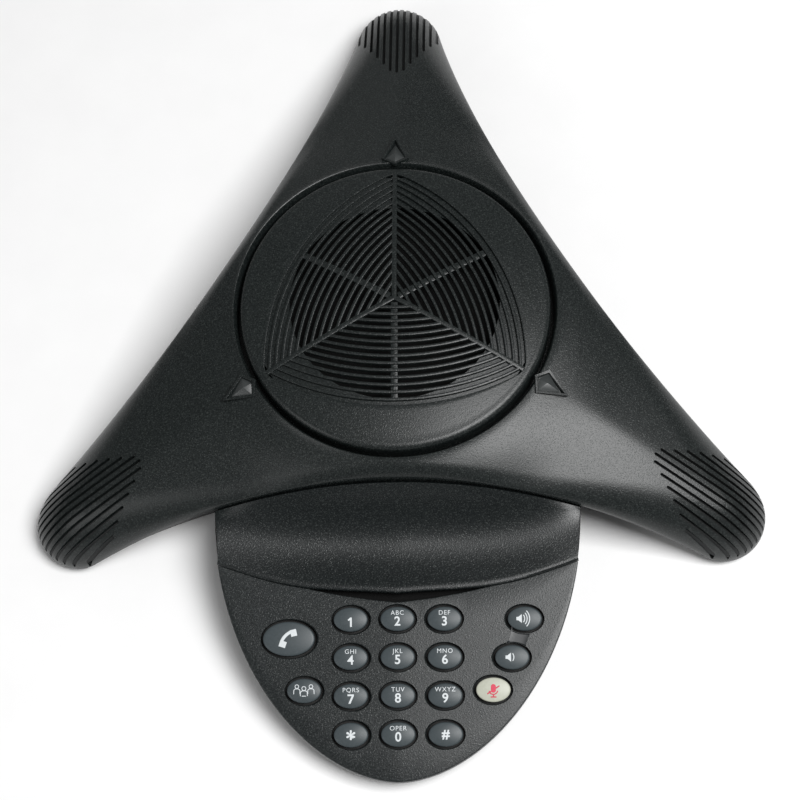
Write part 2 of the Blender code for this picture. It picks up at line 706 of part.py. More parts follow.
def make_light_pipe(place, angle):
    """Kite lens of a status light: a four-sided pyramid on a straight foot."""
    body = bmesh.new()
    corners = ((67.7 * MM, 0.0), (71.0 * MM, 4.25 * MM), (78.1 * MM, 0.0), (71.0 * MM, -4.25 * MM))
    bottom = [body.verts.new(on_arm(angle, along, across, 45.6 * MM)) for along, across in corners]
    rim = [body.verts.new(on_arm(angle, along, across, ridge_at(along) + 0.3 * MM)) for along, across in corners]
    peak = body.verts.new(on_arm(angle, 73.4 * MM, 0.0, ridge_at(73.4 * MM) + 1.7 * MM))
    for i in range(4):
        j = (i + 1) % 4
        body.faces.new((bottom[i], bottom[j], rim[j], rim[i]))
        body.faces.new((rim[i], rim[j], peak))
    body.faces.new(bottom[::-1])
    face_out(body)
    add_object("light_pipe_" + place, body, "lens")
    centre = on_arm(angle, 72.0 * MM, 0.0)
    low = (centre.x - 1.6 * MM, centre.y - 1.6 * MM, 42.6 * MM)
    high = (centre.x + 1.6 * MM, centre.y + 1.6 * MM, 44.2 * MM)
    box("led_" + place, low, high, "emitter")


def make_microphone(place, angle):
    """Electret capsule in a rubber boot, standing on the floor of the arm's nose."""
    centre = on_arm(angle, 148.0 * MM, 0.0)
    low = FLOOR_TOP + GAP
    boot = [
        (3.3 * MM, low + 9.0 * MM), (6.0 * MM, low + 9.0 * MM), (6.0 * MM, low), (0.0, low),
    ]
    profile = [(0.0, low + 2.0 * MM)] + [(3.3 * MM, low + 2.0 * MM)] + boot
    turned("mic_boot_" + place, profile, centre, "rubber", steps=16)
    capsule = [
        (0.0, low + 8.6 * MM), (3.0 * MM, low + 8.6 * MM), (3.0 * MM, low + 2.3 * MM), (0.0, low + 2.3 * MM),
    ]
    turned("mic_capsule_" + place, capsule, centre, "steel", steps=16)


def make_foot(place, centre, radius):
    """Round rubber foot under the floor, with a small bevel where it meets the table."""
    high = FLOOR_UNDERSIDE - GAP
    profile = [(0.0, high), (radius, high), (radius, 0.5 * MM), (radius - 0.6 * MM, 0.0), (0.0, 0.0)]
    turned("foot_" + place, profile, centre, "rubber", steps=24)


def make_screw(place, centre, top):
    """Pan-head screw: the head is against the floor from below, the shank goes up into its post."""
    head = 0.3 * MM
    profile = [
        (0.0, top), (1.3 * MM, top), (1.3 * MM, FLOOR_UNDERSIDE - GAP), (3.2 * MM, FLOOR_UNDERSIDE - GAP),
        (2.6 * MM, head), (0.0, head),
    ]
    turned("screw_" + place, profile, centre, "steel", steps=14)


def make_driver():
    """Loudspeaker: pressed basket, magnet between two plates, and the moving cone with its coil and cap."""
    flange = DRIVER_FLANGE
    basket = [
        (47.5 * MM, flange), (56.0 * MM, flange), (56.0 * MM, flange - 1.5 * MM), (48.5 * MM, flange - 1.5 * MM),
        (40.0 * MM, 31.0 * MM), (27.0 * MM, 28.6 * MM), (17.0 * MM, 28.6 * MM), (17.0 * MM, 30.1 * MM),
        (26.0 * MM, 30.1 * MM), (38.6 * MM, 32.4 * MM), (47.5 * MM, flange),
    ]
    turned("speaker_basket", basket, HUB, "steel", steps=24)
    top_plate = [(11.0 * MM, 28.3 * MM), (28.0 * MM, 28.3 * MM), (28.0 * MM, 25.0 * MM), (11.0 * MM, 25.0 * MM)]
    turned("speaker_top_plate", top_plate + top_plate[:1], HUB, "steel", steps=24)
    magnet = [(14.0 * MM, 24.7 * MM), (MAGNET_RADIUS, 24.7 * MM), (MAGNET_RADIUS, 15.7 * MM), (14.0 * MM, 15.7 * MM)]
    turned("speaker_magnet", magnet + magnet[:1], HUB, "ferrite", steps=24)
    yoke = [
        (0.0, 28.3 * MM), (9.0 * MM, 28.3 * MM), (9.0 * MM, 15.4 * MM), (28.0 * MM, 15.4 * MM),
        (28.0 * MM, 12.4 * MM), (0.0, 12.4 * MM),
    ]
    turned("speaker_yoke", yoke, HUB, "steel", steps=24)
    gasket = [(50.0 * MM, 42.5 * MM), (56.0 * MM, 42.5 * MM), (56.0 * MM, 41.5 * MM), (50.0 * MM, 41.5 * MM)]
    turned("speaker_gasket", gasket + gasket[:1], HUB, "rubber", steps=24)
    surround = [
        (41.0 * MM, 41.6 * MM), (43.5 * MM, 43.0 * MM), (46.0 * MM, 43.0 * MM), (48.2 * MM, 41.8 * MM),
        (49.6 * MM, 41.8 * MM), (49.6 * MM, 41.5 * MM), (47.8 * MM, 41.5 * MM), (45.8 * MM, 42.6 * MM),
        (43.8 * MM, 42.6 * MM), (41.0 * MM, 41.2 * MM), (41.0 * MM, 41.6 * MM),
    ]
    turned("speaker_surround", surround, HUB, "rubber", steps=24)
    cone = [
        (12.4 * MM, 34.3 * MM), (40.6 * MM, 41.6 * MM), (40.6 * MM, 41.0 * MM), (12.4 * MM, 33.6 * MM),
        (12.4 * MM, 34.3 * MM),
    ]
    turned("speaker_cone", cone, HUB, "paper", steps=24)
    coil = [(9.5 * MM, 33.2 * MM), (10.5 * MM, 33.2 * MM), (10.5 * MM, 25.6 * MM), (9.5 * MM, 25.6 * MM)]
    turned("voice_coil", coil + coil[:1], HUB, "copper", steps=24)
    cap = [
        (0.0, 38.4 * MM), (6.0 * MM, 37.4 * MM), (11.9 * MM, 34.4 * MM), (11.9 * MM, 33.6 * MM),
        (6.0 * MM, 36.6 * MM), (0.0, 37.6 * MM),
    ]
    turned("dust_cap", cap, HUB, "paper", steps=24)
    cloth = [(0.0, 45.9 * MM), (62.4 * MM, 45.9 * MM), (62.4 * MM, 45.3 * MM), (0.0, 45.3 * MM)]
    turned("speaker_cloth", cloth, HUB, "paper", steps=24)


def make_electronics():
    cylinder("main_board", 46.0 * MM, 7.6 * MM, 9.2 * MM, HUB, "board", sides=32)
    low = (14.0 * MM, HUB.y - 42.0 * MM, 9.5 * MM)
    high = (28.0 * MM, HUB.y - 32.0 * MM, 11.1 * MM)
    box("signal_chip", low, high, "plastic")
    body = bmesh.new()
    half = RIBBON_WIDTH / 2
    path = ((-30 * MM, RIBBON_HEIGHT - 1.6 * MM), (-38 * MM, RIBBON_HEIGHT - 1.6 * MM), (-45 * MM, RIBBON_HEIGHT),
            (-80 * MM, RIBBON_HEIGHT), (-112 * MM, RIBBON_HEIGHT + 3 * MM))
    rows = [[body.verts.new((x, y, z)) for x in (-half, half)] for y, z in path]
    for back, front in zip(rows, rows[1:]):
        body.faces.new((back[0], front[0], front[1], back[1]))
    ribbon = add_object("ribbon_cable", body, "plastic")
    wall = ribbon.modifiers.new("wall", "SOLIDIFY")
    wall.thickness = 0.6 * MM
    wall.offset = 0.0


def make_line_jack():
    """Socket block for the line cord: its mouth opens towards -X, under the rear left edge."""
    low = (JACK_MOUTH, JACK_CENTRE.y - JACK_SIZE[1] / 2, JACK_CENTRE.z - JACK_SIZE[2] / 2)
    high = (JACK_MOUTH + JACK_SIZE[0], JACK_CENTRE.y + JACK_SIZE[1] / 2, JACK_CENTRE.z + JACK_SIZE[2] / 2)
    jack = box("line_jack", low, high, "plastic")
    low = (JACK_MOUTH - 2 * MM, JACK_CENTRE.y - JACK_SOCKET[1] / 2, JACK_CENTRE.z - JACK_SOCKET[2] / 2)
    high = (JACK_MOUTH + JACK_SOCKET[0], JACK_CENTRE.y + JACK_SOCKET[1] / 2, JACK_CENTRE.z + JACK_SOCKET[2] / 2)
    boolean(jack, box("jack_socket", low, high))
    low = (JACK_MOUTH - 2 * MM, JACK_CENTRE.y - 2 * MM, JACK_CENTRE.z + JACK_SOCKET[2] / 2 - 0.5 * MM)
    high = (JACK_MOUTH + 8 * MM, JACK_CENTRE.y + 2 * MM, JACK_CENTRE.z + JACK_SOCKET[2] / 2 + 1.2 * MM)
    boolean(jack, box("jack_latch_slot", low, high))


def main():
    make_base_shell()
    make_tongue_base()
    make_top_shell()
    make_dish_panel()
    make_keypad_panel()
    for name, x, y, size in key_places():
        make_key(name, x, y, size)
    make_keypad_stack()
    make_speaker_cover()
    make_driver()
    make_electronics()
    make_line_jack()
    for place, angle in THREE_ARMS:
        make_light_pipe(place, angle)
        make_microphone(place, angle)
        make_foot(place, on_arm(angle, 160.0 * MM, 0.0), 9.0 * MM)
        make_screw(place, on_arm(angle, SCREW_DISTANCE, 0.0), 18.0 * MM)
    make_foot("front", Vector((0.0, -152.0 * MM, 0.0)), 7.0 * MM)
    make_screw("front", TONGUE_SCREW, 9.5 * MM)


clear_scene()
PARTS = make_collection("conference_speakerphone")
CUTTERS = make_collection("cutters")
main()
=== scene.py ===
import json
import math
import bpy
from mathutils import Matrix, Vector


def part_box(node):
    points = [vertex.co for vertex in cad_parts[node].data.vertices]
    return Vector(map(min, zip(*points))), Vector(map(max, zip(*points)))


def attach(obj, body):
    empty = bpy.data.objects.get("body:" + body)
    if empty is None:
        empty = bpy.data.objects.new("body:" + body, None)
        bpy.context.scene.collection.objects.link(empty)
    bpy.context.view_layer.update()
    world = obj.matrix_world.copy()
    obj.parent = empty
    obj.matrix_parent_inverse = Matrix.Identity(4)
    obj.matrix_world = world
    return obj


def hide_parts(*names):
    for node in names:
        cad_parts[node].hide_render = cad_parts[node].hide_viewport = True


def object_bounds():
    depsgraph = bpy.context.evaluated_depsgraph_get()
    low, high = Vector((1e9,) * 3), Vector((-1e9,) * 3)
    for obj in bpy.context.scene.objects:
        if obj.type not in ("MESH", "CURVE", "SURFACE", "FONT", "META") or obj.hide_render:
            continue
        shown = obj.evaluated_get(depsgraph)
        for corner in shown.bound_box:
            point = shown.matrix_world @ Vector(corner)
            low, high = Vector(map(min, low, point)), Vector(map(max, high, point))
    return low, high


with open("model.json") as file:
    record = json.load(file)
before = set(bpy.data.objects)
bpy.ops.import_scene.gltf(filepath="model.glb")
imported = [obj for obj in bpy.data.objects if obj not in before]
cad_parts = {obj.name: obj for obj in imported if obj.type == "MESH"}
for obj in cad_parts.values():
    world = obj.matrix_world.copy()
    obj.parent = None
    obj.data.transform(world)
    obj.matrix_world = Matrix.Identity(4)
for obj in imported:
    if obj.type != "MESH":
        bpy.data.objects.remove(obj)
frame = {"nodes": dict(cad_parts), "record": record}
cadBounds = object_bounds()
mm = 0.001
tightWeld, weld, looseWeld = 0.001 * mm, 0.01 * mm, 0.02 * mm  # how near two points are when they become one
scene = bpy.context.scene

coverLow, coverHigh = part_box("speaker_cover")
hub = (coverLow + coverHigh) / 2
armAngles = {"rear": 90, "left": 210, "right": 330}


# small helpers for modelling

def deselectAll():
    if bpy.context.mode != "OBJECT":
        bpy.ops.object.mode_set(mode="OBJECT")
    bpy.ops.object.select_all(action="DESELECT")


def choose(piece):
    deselectAll()
    piece.select_set(True)
    bpy.context.view_layer.objects.active = piece


def addModifier(piece, kind, **settings):
    choose(piece)
    step = piece.modifiers.new(kind.lower(), kind)
    for name, value in settings.items():
        setattr(step, name, value)
    bpy.ops.object.modifier_apply(modifier=step.name)


def settle(piece):
    # puts the place of a piece in its mesh
    choose(piece)
    bpy.ops.object.transform_apply(location=True, rotation=True, scale=True)


def mergeDoubles(piece, distance=0.004 * mm, outward=True):
    choose(piece)
    bpy.ops.object.mode_set(mode="EDIT")
    bpy.ops.mesh.select_all(action="SELECT")
    bpy.ops.mesh.remove_doubles(threshold=distance)
    if outward:
        bpy.ops.mesh.normals_make_consistent(inside=False)
    bpy.ops.object.mode_set(mode="OBJECT")


def joinAll(name, pieces):
    deselectAll()
    for piece in pieces:
        piece.select_set(True)
    bpy.context.view_layer.objects.active = pieces[0]
    if len(pieces) > 1:
        bpy.ops.object.join()
    pieces[0].name = name
    return pieces[0]


def copyOf(piece, angle=0.0):
    # a copy with its own mesh, turned about the vertical through the origin
    choose(piece)
    bpy.ops.object.duplicate(linked=False)
    twin = bpy.context.object
    twin.rotation_euler.z = math.radians(angle)
    settle(twin)
    return twin


def moveBy(piece, offset):
    piece.location = offset
    settle(piece)


def sectionGrid(name, sections):
    # a primitive grid laid on cross sections that all have the same number of points
    columns, rows = len(sections) - 1, len(sections[0]) - 1
    deselectAll()
    bpy.ops.mesh.primitive_grid_add(x_subdivisions=columns, y_subdivisions=rows, size=2)
    piece = bpy.context.object
    piece.name = name
    for vertex in piece.data.vertices:
        column = round((vertex.co.x + 1) / 2 * columns)
        row = round((vertex.co.y + 1) / 2 * rows)
        vertex.co = sections[column][row]
    return piece


def capEnds(piece):
    # closes every open rim with a face
    choose(piece)
    bpy.ops.object.mode_set(mode="EDIT")
    bpy.ops.mesh.select_mode(type="EDGE")
    bpy.ops.mesh.select_all(action="DESELECT")
    bpy.ops.mesh.select_non_manifold(
        extend=False, use_wire=False, use_multi_face=False, use_non_contiguous=False, use_verts=False)
    bpy.ops.mesh.edge_face_add()
    bpy.ops.mesh.select_all(action="SELECT")
    bpy.ops.mesh.normals_make_consistent(inside=False)
    bpy.ops.object.mode_set(mode="OBJECT")


def cutAway(piece, cutter):
    addModifier(piece, "BOOLEAN", operation="DIFFERENCE", object=cutter, solver="EXACT")
    bpy.data.objects.remove(cutter, do_unlink=True)


def smoothByAngle(piece, degrees=30):
    choose(piece)
    bpy.ops.object.shade_smooth_by_angle(angle=math.radians(degrees))


def register(piece, body, surface, replaced=()):
    # a finished piece: its material, its body and the nodes that it stands for
    piece.data.materials.clear()
    piece.data.materials.append(surface)
    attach(piece, body)
    if replaced:
        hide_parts(*replaced)


# small helpers for materials

class Link:
    # a socket that takes part in Python sums, each adding one Math node
    def __init__(self, maker, socket):
        self.maker, self.socket = maker, socket

    def sum(self, operation, first, second):
        return self.maker.node("ShaderNodeMath", {"operation": operation}, {0: first, 1: second})

    def __add__(self, other):
        return self.sum("ADD", self, other)

    def __sub__(self, other):
        return self.sum("SUBTRACT", self, other)

    def __mul__(self, other):
        return self.sum("MULTIPLY", self, other)

    def __rsub__(self, other):
        return self.sum("SUBTRACT", other, self)

    __radd__, __rmul__ = __add__, __mul__


class Maker:
    def __init__(self, name):
        self.material = bpy.data.materials.new(name)
        self.material.use_nodes = True
        self.tree = self.material.node_tree
        self.shader = self.tree.nodes["Principled BSDF"]
        self.place = Link(self, self.tree.nodes.new("ShaderNodeTexCoord").outputs["Object"])

    def node(self, kind, settings, sockets, output=0):
        made = self.tree.nodes.new(kind)
        for name, value in settings.items():
            setattr(made, name, value)
        for name, value in sockets.items():
            if isinstance(value, Link):
                self.tree.links.new(value.socket, made.inputs[name])
            else:
                made.inputs[name].default_value = value
        return Link(self, made.outputs[output])

    def noise(self, scale, detail=2.0, roughness=0.5):
        sockets = {"Vector": self.place, "Scale": scale, "Detail": detail, "Roughness": roughness}
        return self.node("ShaderNodeTexNoise", {}, sockets)

    def ramp(self, value, low, high):
        sockets = {"Value": value, "From Min": low, "From Max": high}
        return self.node("ShaderNodeMapRange", {"clamp": True}, sockets)

    def mix(self, share, first, second):
        return self.node("ShaderNodeMix", {"data_type": "RGBA"}, {0: share, 6: first, 7: second}, 2)

    def bump(self, height, distance, strength=1.0):
        return self.node("ShaderNodeBump", {}, {"Height": height, "Distance": distance, "Strength": strength})

    def set(self, **values):
        for name, value in values.items():
            socket = self.shader.inputs[name.replace("_", " ")]
            if isinstance(value, Link):
                self.tree.links.new(value.socket, socket)
            else:
                socket.default_value = value
        return self.material


def shade(red, green, blue):
    return (red, green, blue, 1.0)


def speckledPlastic(name, look):
    # moulded plastic with fine bright specks, slow changes of roughness and a grained skin
    make = Maker(name)
    grain = make.noise(look["grainScale"], 2.0, 0.6)
    specks = make.ramp(make.noise(look["speckScale"], 1.0), *look["speckRange"])
    worn = make.ramp(make.noise(look["mottleScale"], 3.0), *look["wornRange"])
    tone = make.mix(make.ramp(grain, *look["toneRange"]), shade(*look["dark"]), shade(*look["light"]))
    tone = make.mix(specks * look["speckShare"], tone, shade(*look["speck"]))
    skin = grain + specks * look["speckHeight"]
    return make.set(
        Base_Color=tone,
        Roughness=look["roughness"] + grain * look["grainSpread"] + worn * look["wornSpread"],
        Normal=make.bump(skin, look["grainDepth"], look["grainStrength"]),
        Specular_IOR_Level=look["gloss"],
    )


plainLook = {
    "metallic": 0.0, "gloss": 0.5, "grainDepth": 0.02 * mm, "grainStrength": 0.4, "grainSpread": 0.1,
    "toneRange": (0.3, 0.7),
}


def plainSurface(name, changes):
    # fine grain over one tone, for metal, rubber, boards and small plastic pieces
    look = {**plainLook, **changes}
    make = Maker(name)
    grain = make.noise(look["grainScale"], 3.0)
    tone = make.mix(make.ramp(grain, *look["toneRange"]), shade(*look["dark"]), shade(*look["light"]))
    return make.set(
        Base_Color=tone,
        Roughness=look["roughness"] + grain * look["grainSpread"],
        Metallic=look["metallic"],
        Normal=make.bump(grain, look["grainDepth"], look["grainStrength"]),
        Specular_IOR_Level=look["gloss"],
    )


consoleLook = {
    "dark": (0.0040, 0.0058, 0.0058), "light": (0.0125, 0.0160, 0.0158), "speck": (0.070, 0.080, 0.076),
    "speckShare": 0.30, "speckScale": 1700, "speckRange": (0.55, 0.70), "speckHeight": 0.6,
    "grainScale": 1500, "grainDepth": 0.05 * mm, "grainStrength": 0.8, "grainSpread": 0.14,
    "mottleScale": 9, "wornRange": (0.35, 0.75), "wornSpread": 0.05, "toneRange": (0.35, 0.65),
    "roughness": 0.25, "gloss": 0.42,
}
keypadLook = dict(consoleLook, dark=(0.0045, 0.0064, 0.0068), light=(0.0135, 0.0170, 0.0176))
dishLook = dict(
    consoleLook, dark=(0.0025, 0.0040, 0.0044), light=(0.0080, 0.0108, 0.0112), roughness=0.23)
baseLook = dict(
    consoleLook, dark=(0.0050, 0.0058, 0.0060), light=(0.0110, 0.0122, 0.0124), speckShare=0.12,
    roughness=0.55)
keyLook = {
    "dark": (0.044, 0.056, 0.061), "light": (0.050, 0.063, 0.069), "roughness": 0.36, "grainScale": 900,
    "grainDepth": 0.008 * mm, "gloss": 0.42,
}
muteLook = dict(keyLook, dark=(0.46, 0.47, 0.39), light=(0.50, 0.51, 0.43))
lensLook = {
    "dark": (0.030, 0.034, 0.034), "light": (0.038, 0.042, 0.042), "roughness": 0.34, "grainScale": 300,
    "grainDepth": 0.001 * mm, "gloss": 0.55, "grainSpread": 0.04,
}
volumeLook = {
    "dark": (0.013, 0.015, 0.017), "light": (0.018, 0.021, 0.023), "roughness": 0.34, "grainScale": 700,
    "grainDepth": 0.006 * mm, "gloss": 0.5,
}
whiteInkLook = {
    "dark": (0.60, 0.64, 0.66), "light": (0.70, 0.73, 0.74), "roughness": 0.5, "grainScale": 3000,
    "grainDepth": 0.005 * mm,
}
redInkLook = dict(whiteInkLook, dark=(0.58, 0.035, 0.075), light=(0.66, 0.05, 0.10))
nodeLooks = {
    "black_rubber": {
        "dark": (0.012, 0.012, 0.012), "light": (0.022, 0.022, 0.022), "roughness": 0.75, "grainScale": 900},
    "circuit_board": {
        "dark": (0.010, 0.070, 0.028), "light": (0.018, 0.115, 0.045), "roughness": 0.35, "grainScale": 260},
    "pressed_steel": {
        "dark": (0.45, 0.46, 0.47), "light": (0.60, 0.61, 0.62), "roughness": 0.28, "metallic": 1.0,
        "grainScale": 500},
    "ferrite": {
        "dark": (0.035, 0.035, 0.038), "light": (0.060, 0.060, 0.063), "roughness": 0.5, "grainScale": 800},
    "speaker_paper": {
        "dark": (0.020, 0.020, 0.020), "light": (0.036, 0.036, 0.035), "roughness": 0.8, "grainScale": 1200,
        "grainDepth": 0.08 * mm},
    "acoustic_cloth": {
        "dark": (0.004, 0.004, 0.004), "light": (0.009, 0.009, 0.009), "roughness": 0.9, "grainScale": 2600,
        "grainDepth": 0.1 * mm, "gloss": 0.1},
    "copper_wire": {
        "dark": (0.50, 0.20, 0.08), "light": (0.66, 0.30, 0.13), "roughness": 0.3, "metallic": 1.0,
        "grainScale": 1500},
    "black_plastic": {
        "dark": (0.014, 0.014, 0.015), "light": (0.024, 0.024, 0.025), "roughness": 0.42, "grainScale": 1200},
    "silicone": {
        "dark": (0.36, 0.36, 0.34), "light": (0.44, 0.44, 0.42), "roughness": 0.5, "grainScale": 700},
    "emitter": {
        "dark": (0.62, 0.62, 0.57), "light": (0.72, 0.72, 0.67), "roughness": 0.2, "grainScale": 600},
}
surfaces = {
    "upper_housing": speckledPlastic("console_plastic", consoleLook),
    "keypad_plastic": speckledPlastic("keypad_plastic", keypadLook),
    "dish_plastic": speckledPlastic("dish_plastic", dishLook),
    "lower_housing": speckledPlastic("lower_housing_plastic", baseLook),
    "key": plainSurface("key_plastic", keyLook),
    "mute_key": plainSurface("mute_key_plastic", muteLook),
    "lens": plainSurface("lens_plastic", lensLook),
    "whiteInk": plainSurface("white_print", whiteInkLook),
    "redInk": plainSurface("red_print", redInkLook),
    "volume": plainSurface("smooth_recess", volumeLook),
}
for slotName, look in nodeLooks.items():
    surfaces[slotName] = plainSurface(slotName, look)

slotOfNode = {part["node"]: part["material_slot"] for part in frame["record"]["subparts"]}
for nodeName, node in frame["nodes"].items():
    node.data.materials.clear()
    node.data.materials.append(surfaces[slotOfNode[nodeName]])
print("materials made")


# upper housing: six mirrored half arms, with the round speaker bay in the middle

console = {
    "waistRadius": 74.6 * mm, "tipDistance": 157.3 * mm, "tipRadius": 19.3 * mm,
    "waistHeight": 48.6 * mm, "tipEdge": 5.5 * mm, "archRadius": 208 * mm, "archSoft": 2 * mm,
    "crown": 54.5 * mm, "crownFall": 0.2254, "crownBend": 0.828,
    "flank": 0.13, "flankSoft": 3 * mm, "flankReach": 30 * mm,
    "edgeRoll": 5 * mm, "skin": 2.2 * mm, "skinDrop": 1.15, "skirt": 1.5 * mm,
    "bayRadius": 68.3 * mm, "bayWall": 66.8 * mm, "bayFloor": 45 * mm, "bayOpening": 54 * mm,
    "bayBack": (47 * mm, 50 * mm), "bayGap": 0.2 * mm, "lip": 1.0 * mm, "lipReach": 2 * mm,
    # the rounded lip, as millimetres outside the bay's wall and below its top
    "lipProfile": ((1.28, 0.08), (1.10, 0.25), (0.94, 0.52), (0.70, 1.1), (0.22, 2.5), (0.0, 3.6)),
    "baySteps": 22, "armSteps": 22, "tipSteps": 14, "rollSteps": 9, "topSteps": 12,
}
cos30 = math.sqrt(0.75)
arcRadius = (console["waistRadius"] ** 2 - console["waistRadius"] * console["tipDistance"]
             + console["tipDistance"] ** 2 - console["tipRadius"] ** 2)
arcRadius /= 2 * console["tipRadius"] + console["tipDistance"] - 2 * console["waistRadius"]
arcReach = console["waistRadius"] + arcRadius
arcCentre = Vector((arcReach / 2, arcReach * cos30))
tipCentre = Vector((console["tipDistance"], 0))


def softStep(value):
    value = min(max(value, 0.0), 1.0)
    return value * value * (3 - 2 * value)


def halfOutline(baySteps, armSteps, tipSteps):
    # edge points of half an arm from the waist to the tip, each with the direction that points inwards
    touch = tipCentre + (arcCentre - tipCentre).normalized() * console["tipRadius"]
    stops = [Vector((0, 0)), Vector((console["bayRadius"], 0)), touch]
    turns = [math.atan2(p.y - arcCentre.y, p.x - arcCentre.x) % (2 * math.pi) for p in stops]
    run = [turns[0] + (turns[1] - turns[0]) * i / baySteps for i in range(baySteps)]
    run += [turns[1] + (turns[2] - turns[1]) * i / armSteps for i in range(armSteps)]
    points = []
    for turn in run:
        out = Vector((math.cos(turn), math.sin(turn)))
        points.append((arcCentre + out * arcRadius, out))
    noseTurn = math.atan2(touch.y, touch.x - tipCentre.x)
    for i in range(tipSteps + 1):
        turn = noseTurn * (1 - i / tipSteps)
        out = Vector((math.cos(turn), math.sin(turn)))
        points.append((tipCentre + out * console["tipRadius"], -out))
    return points


def edgeHeight(point):
    across = point.x * cos30 - abs(point.y) / 2
    arch = console["waistHeight"] - across**2 / (2 * console["archRadius"])
    return (arch + console["tipEdge"] + math.hypot(arch - console["tipEdge"], console["archSoft"])) / 2


def crownHeight(point, withLip=True):
    out = point.length - console["bayRadius"]
    height = console["crown"] - console["crownFall"] * out - console["crownBend"] * out**2
    aside = math.hypot(point.y, console["flankSoft"]) - console["flankSoft"]
    height -= console["flank"] * aside * softStep(out / console["flankReach"])
    if withLip:
        height += console["lip"] * math.exp(-out / console["lipReach"])
    return height


def rollWidth(point):
    reach = (point.length - console["waistRadius"]) / (
        console["tipDistance"] + console["tipRadius"] - console["waistRadius"])
    return console["edgeRoll"] + (console["tipRadius"] - console["edgeRoll"]) * softStep(reach)


def shellHeight(point, inward, distance):
    edge = edgeHeight(point)
    share = min(distance / rollWidth(point), 1.0)
    rise = math.sqrt(max(1 - (1 - share) ** 2, 0.0))
    return edge + (crownHeight(point + inward * distance) - edge) * rise


def inwardLength(point, inward, meetsBay, bayRadius):
    if meetsBay:
        along = -point.dot(inward)
        return along - math.sqrt(max(bayRadius**2 - (point.length_squared - along**2), 0.0))
    return point.y / -inward.y if inward.y < -1e-6 else console["tipRadius"]


def faceLine(point, inward, meetsBay, skin, bayRadius):
    # one face of the wall from its rim inwards, the inside face when skin is above zero
    length = inwardLength(point, inward, meetsBay, bayRadius)
    width = min(rollWidth(point), length)
    rolls, tops = console["rollSteps"], console["topSteps"]
    distances = [width * (1 - math.cos(math.pi / 2 * k / rolls)) for k in range(rolls + 1)]
    distances += [width + (length - width) * k / tops for k in range(1, tops + 1)]
    rim = point + inward * skin
    line = [Vector((rim.x, max(rim.y, 0.0), edgeHeight(point) - console["skirt"]))]
    for distance in distances:
        place = point + inward * (skin + distance * (length - skin) / length)
        height = shellHeight(point, inward, (place - point).length) - console["skinDrop"] * skin
        line.append(Vector((place.x, max(place.y, 0.0), height)))
    return line


def bayLine(end):
    # the bay's rounded lip, its wall and the ledge that carries the driver
    wall, ledge = console["bayWall"], console["bayFloor"]
    under = ledge - console["skin"]
    section = [(wall + away * mm, end.z - down * mm) for away, down in console["lipProfile"]]
    section += [(wall, ledge), (console["bayOpening"], ledge), (console["bayOpening"], under)]
    section += [(wall + console["skin"], height) for height in (under, *console["bayBack"])]
    out = end.xy.normalized()
    return [Vector((out.x * radius, out.y * radius, height)) for radius, height in section]


def makeHousing():
    back = console["bayWall"] + console["skin"] + console["bayGap"]
    baySections, armSections = [], []
    outline = halfOutline(console["baySteps"], console["armSteps"], console["tipSteps"])
    for i, (point, inward) in enumerate(outline):
        meetsBay = i <= console["baySteps"]
        outside = faceLine(point, inward, meetsBay, 0.0, console["bayRadius"])
        inside = faceLine(point, inward, meetsBay, console["skin"], back)
        if i == console["baySteps"]:
            inside[-1].xy = (back, 0)
        wall = inside[::-1] + outside
        if meetsBay:
            baySections.append(wall + bayLine(outside[-1]) + wall[:1])
        if i >= console["baySteps"]:
            armSections.append(wall)
    half = joinAll("housing_half", [sectionGrid("bay", baySections), sectionGrid("arm", armSections)])
    addModifier(half, "MIRROR", use_axis=(False, True, False), merge_threshold=tightWeld)
    arms = [copyOf(half, angle) for angle in armAngles.values()]
    bpy.data.objects.remove(half, do_unlink=True)
    shell = joinAll("upper_housing", arms)
    moveBy(shell, (hub.x, hub.y, 0))
    mergeDoubles(shell, looseWeld)
    return shell


micSlots = {
    "pairs": 6, "pitch": 3.0 * mm, "width": 1.25 * mm, "start": 123.3 * mm, "firstStep": 1.3 * mm,
    "nextStep": 4.7 * mm, "endRound": 0.58 * mm, "margin": 0.35 * mm, "low": 7.0 * mm, "high": 45 * mm,
    "offGrid": 0.013 * mm,  # keeps the cuts' walls off the housing's own edges
    "linerStart": 118 * mm, "linerReach": 7 * mm, "linerDeep": 2.5 * mm, "linerShallow": 0.5 * mm,
    "linerDrop": 1.1, "linerSkin": 0.3 * mm, "linerRows": 18,
}


def makeSlotCutter():
    # saw cuts with round inner ends, copied to the three noses
    cuts = []
    for i in range(-micSlots["pairs"], micSlots["pairs"] + 1):
        start = micSlots["start"]
        if i:
            start += micSlots["firstStep"] + micSlots["nextStep"] * (abs(i) - 1)
        across = i * micSlots["pitch"] + micSlots["offGrid"]
        reach = console["tipRadius"] - micSlots["margin"]
        end = console["tipDistance"] + math.sqrt(reach**2 - across**2)
        deselectAll()
        middle = ((start + end) / 2, across, (micSlots["low"] + micSlots["high"]) / 2)
        size = (end - start, micSlots["width"], micSlots["high"] - micSlots["low"])
        bpy.ops.mesh.primitive_cube_add(size=1, location=middle, scale=size)
        cut = bpy.context.object
        settle(cut)
        for edge in cut.data.edges:
            first, last = [cut.data.vertices[k].co for k in edge.vertices]
            edge.select = abs(first.z - last.z) > size[2] / 2 and max(first.x, last.x) < middle[0]
        for face in cut.data.polygons:
            face.select = False
        bpy.ops.object.mode_set(mode="EDIT")
        bpy.ops.mesh.select_mode(type="EDGE")
        bpy.ops.mesh.bevel(offset=micSlots["endRound"], segments=4, affect="EDGES")
        bpy.ops.object.mode_set(mode="OBJECT")
        cuts.append(cut)
    return joinAll("nose_cuts", cuts)


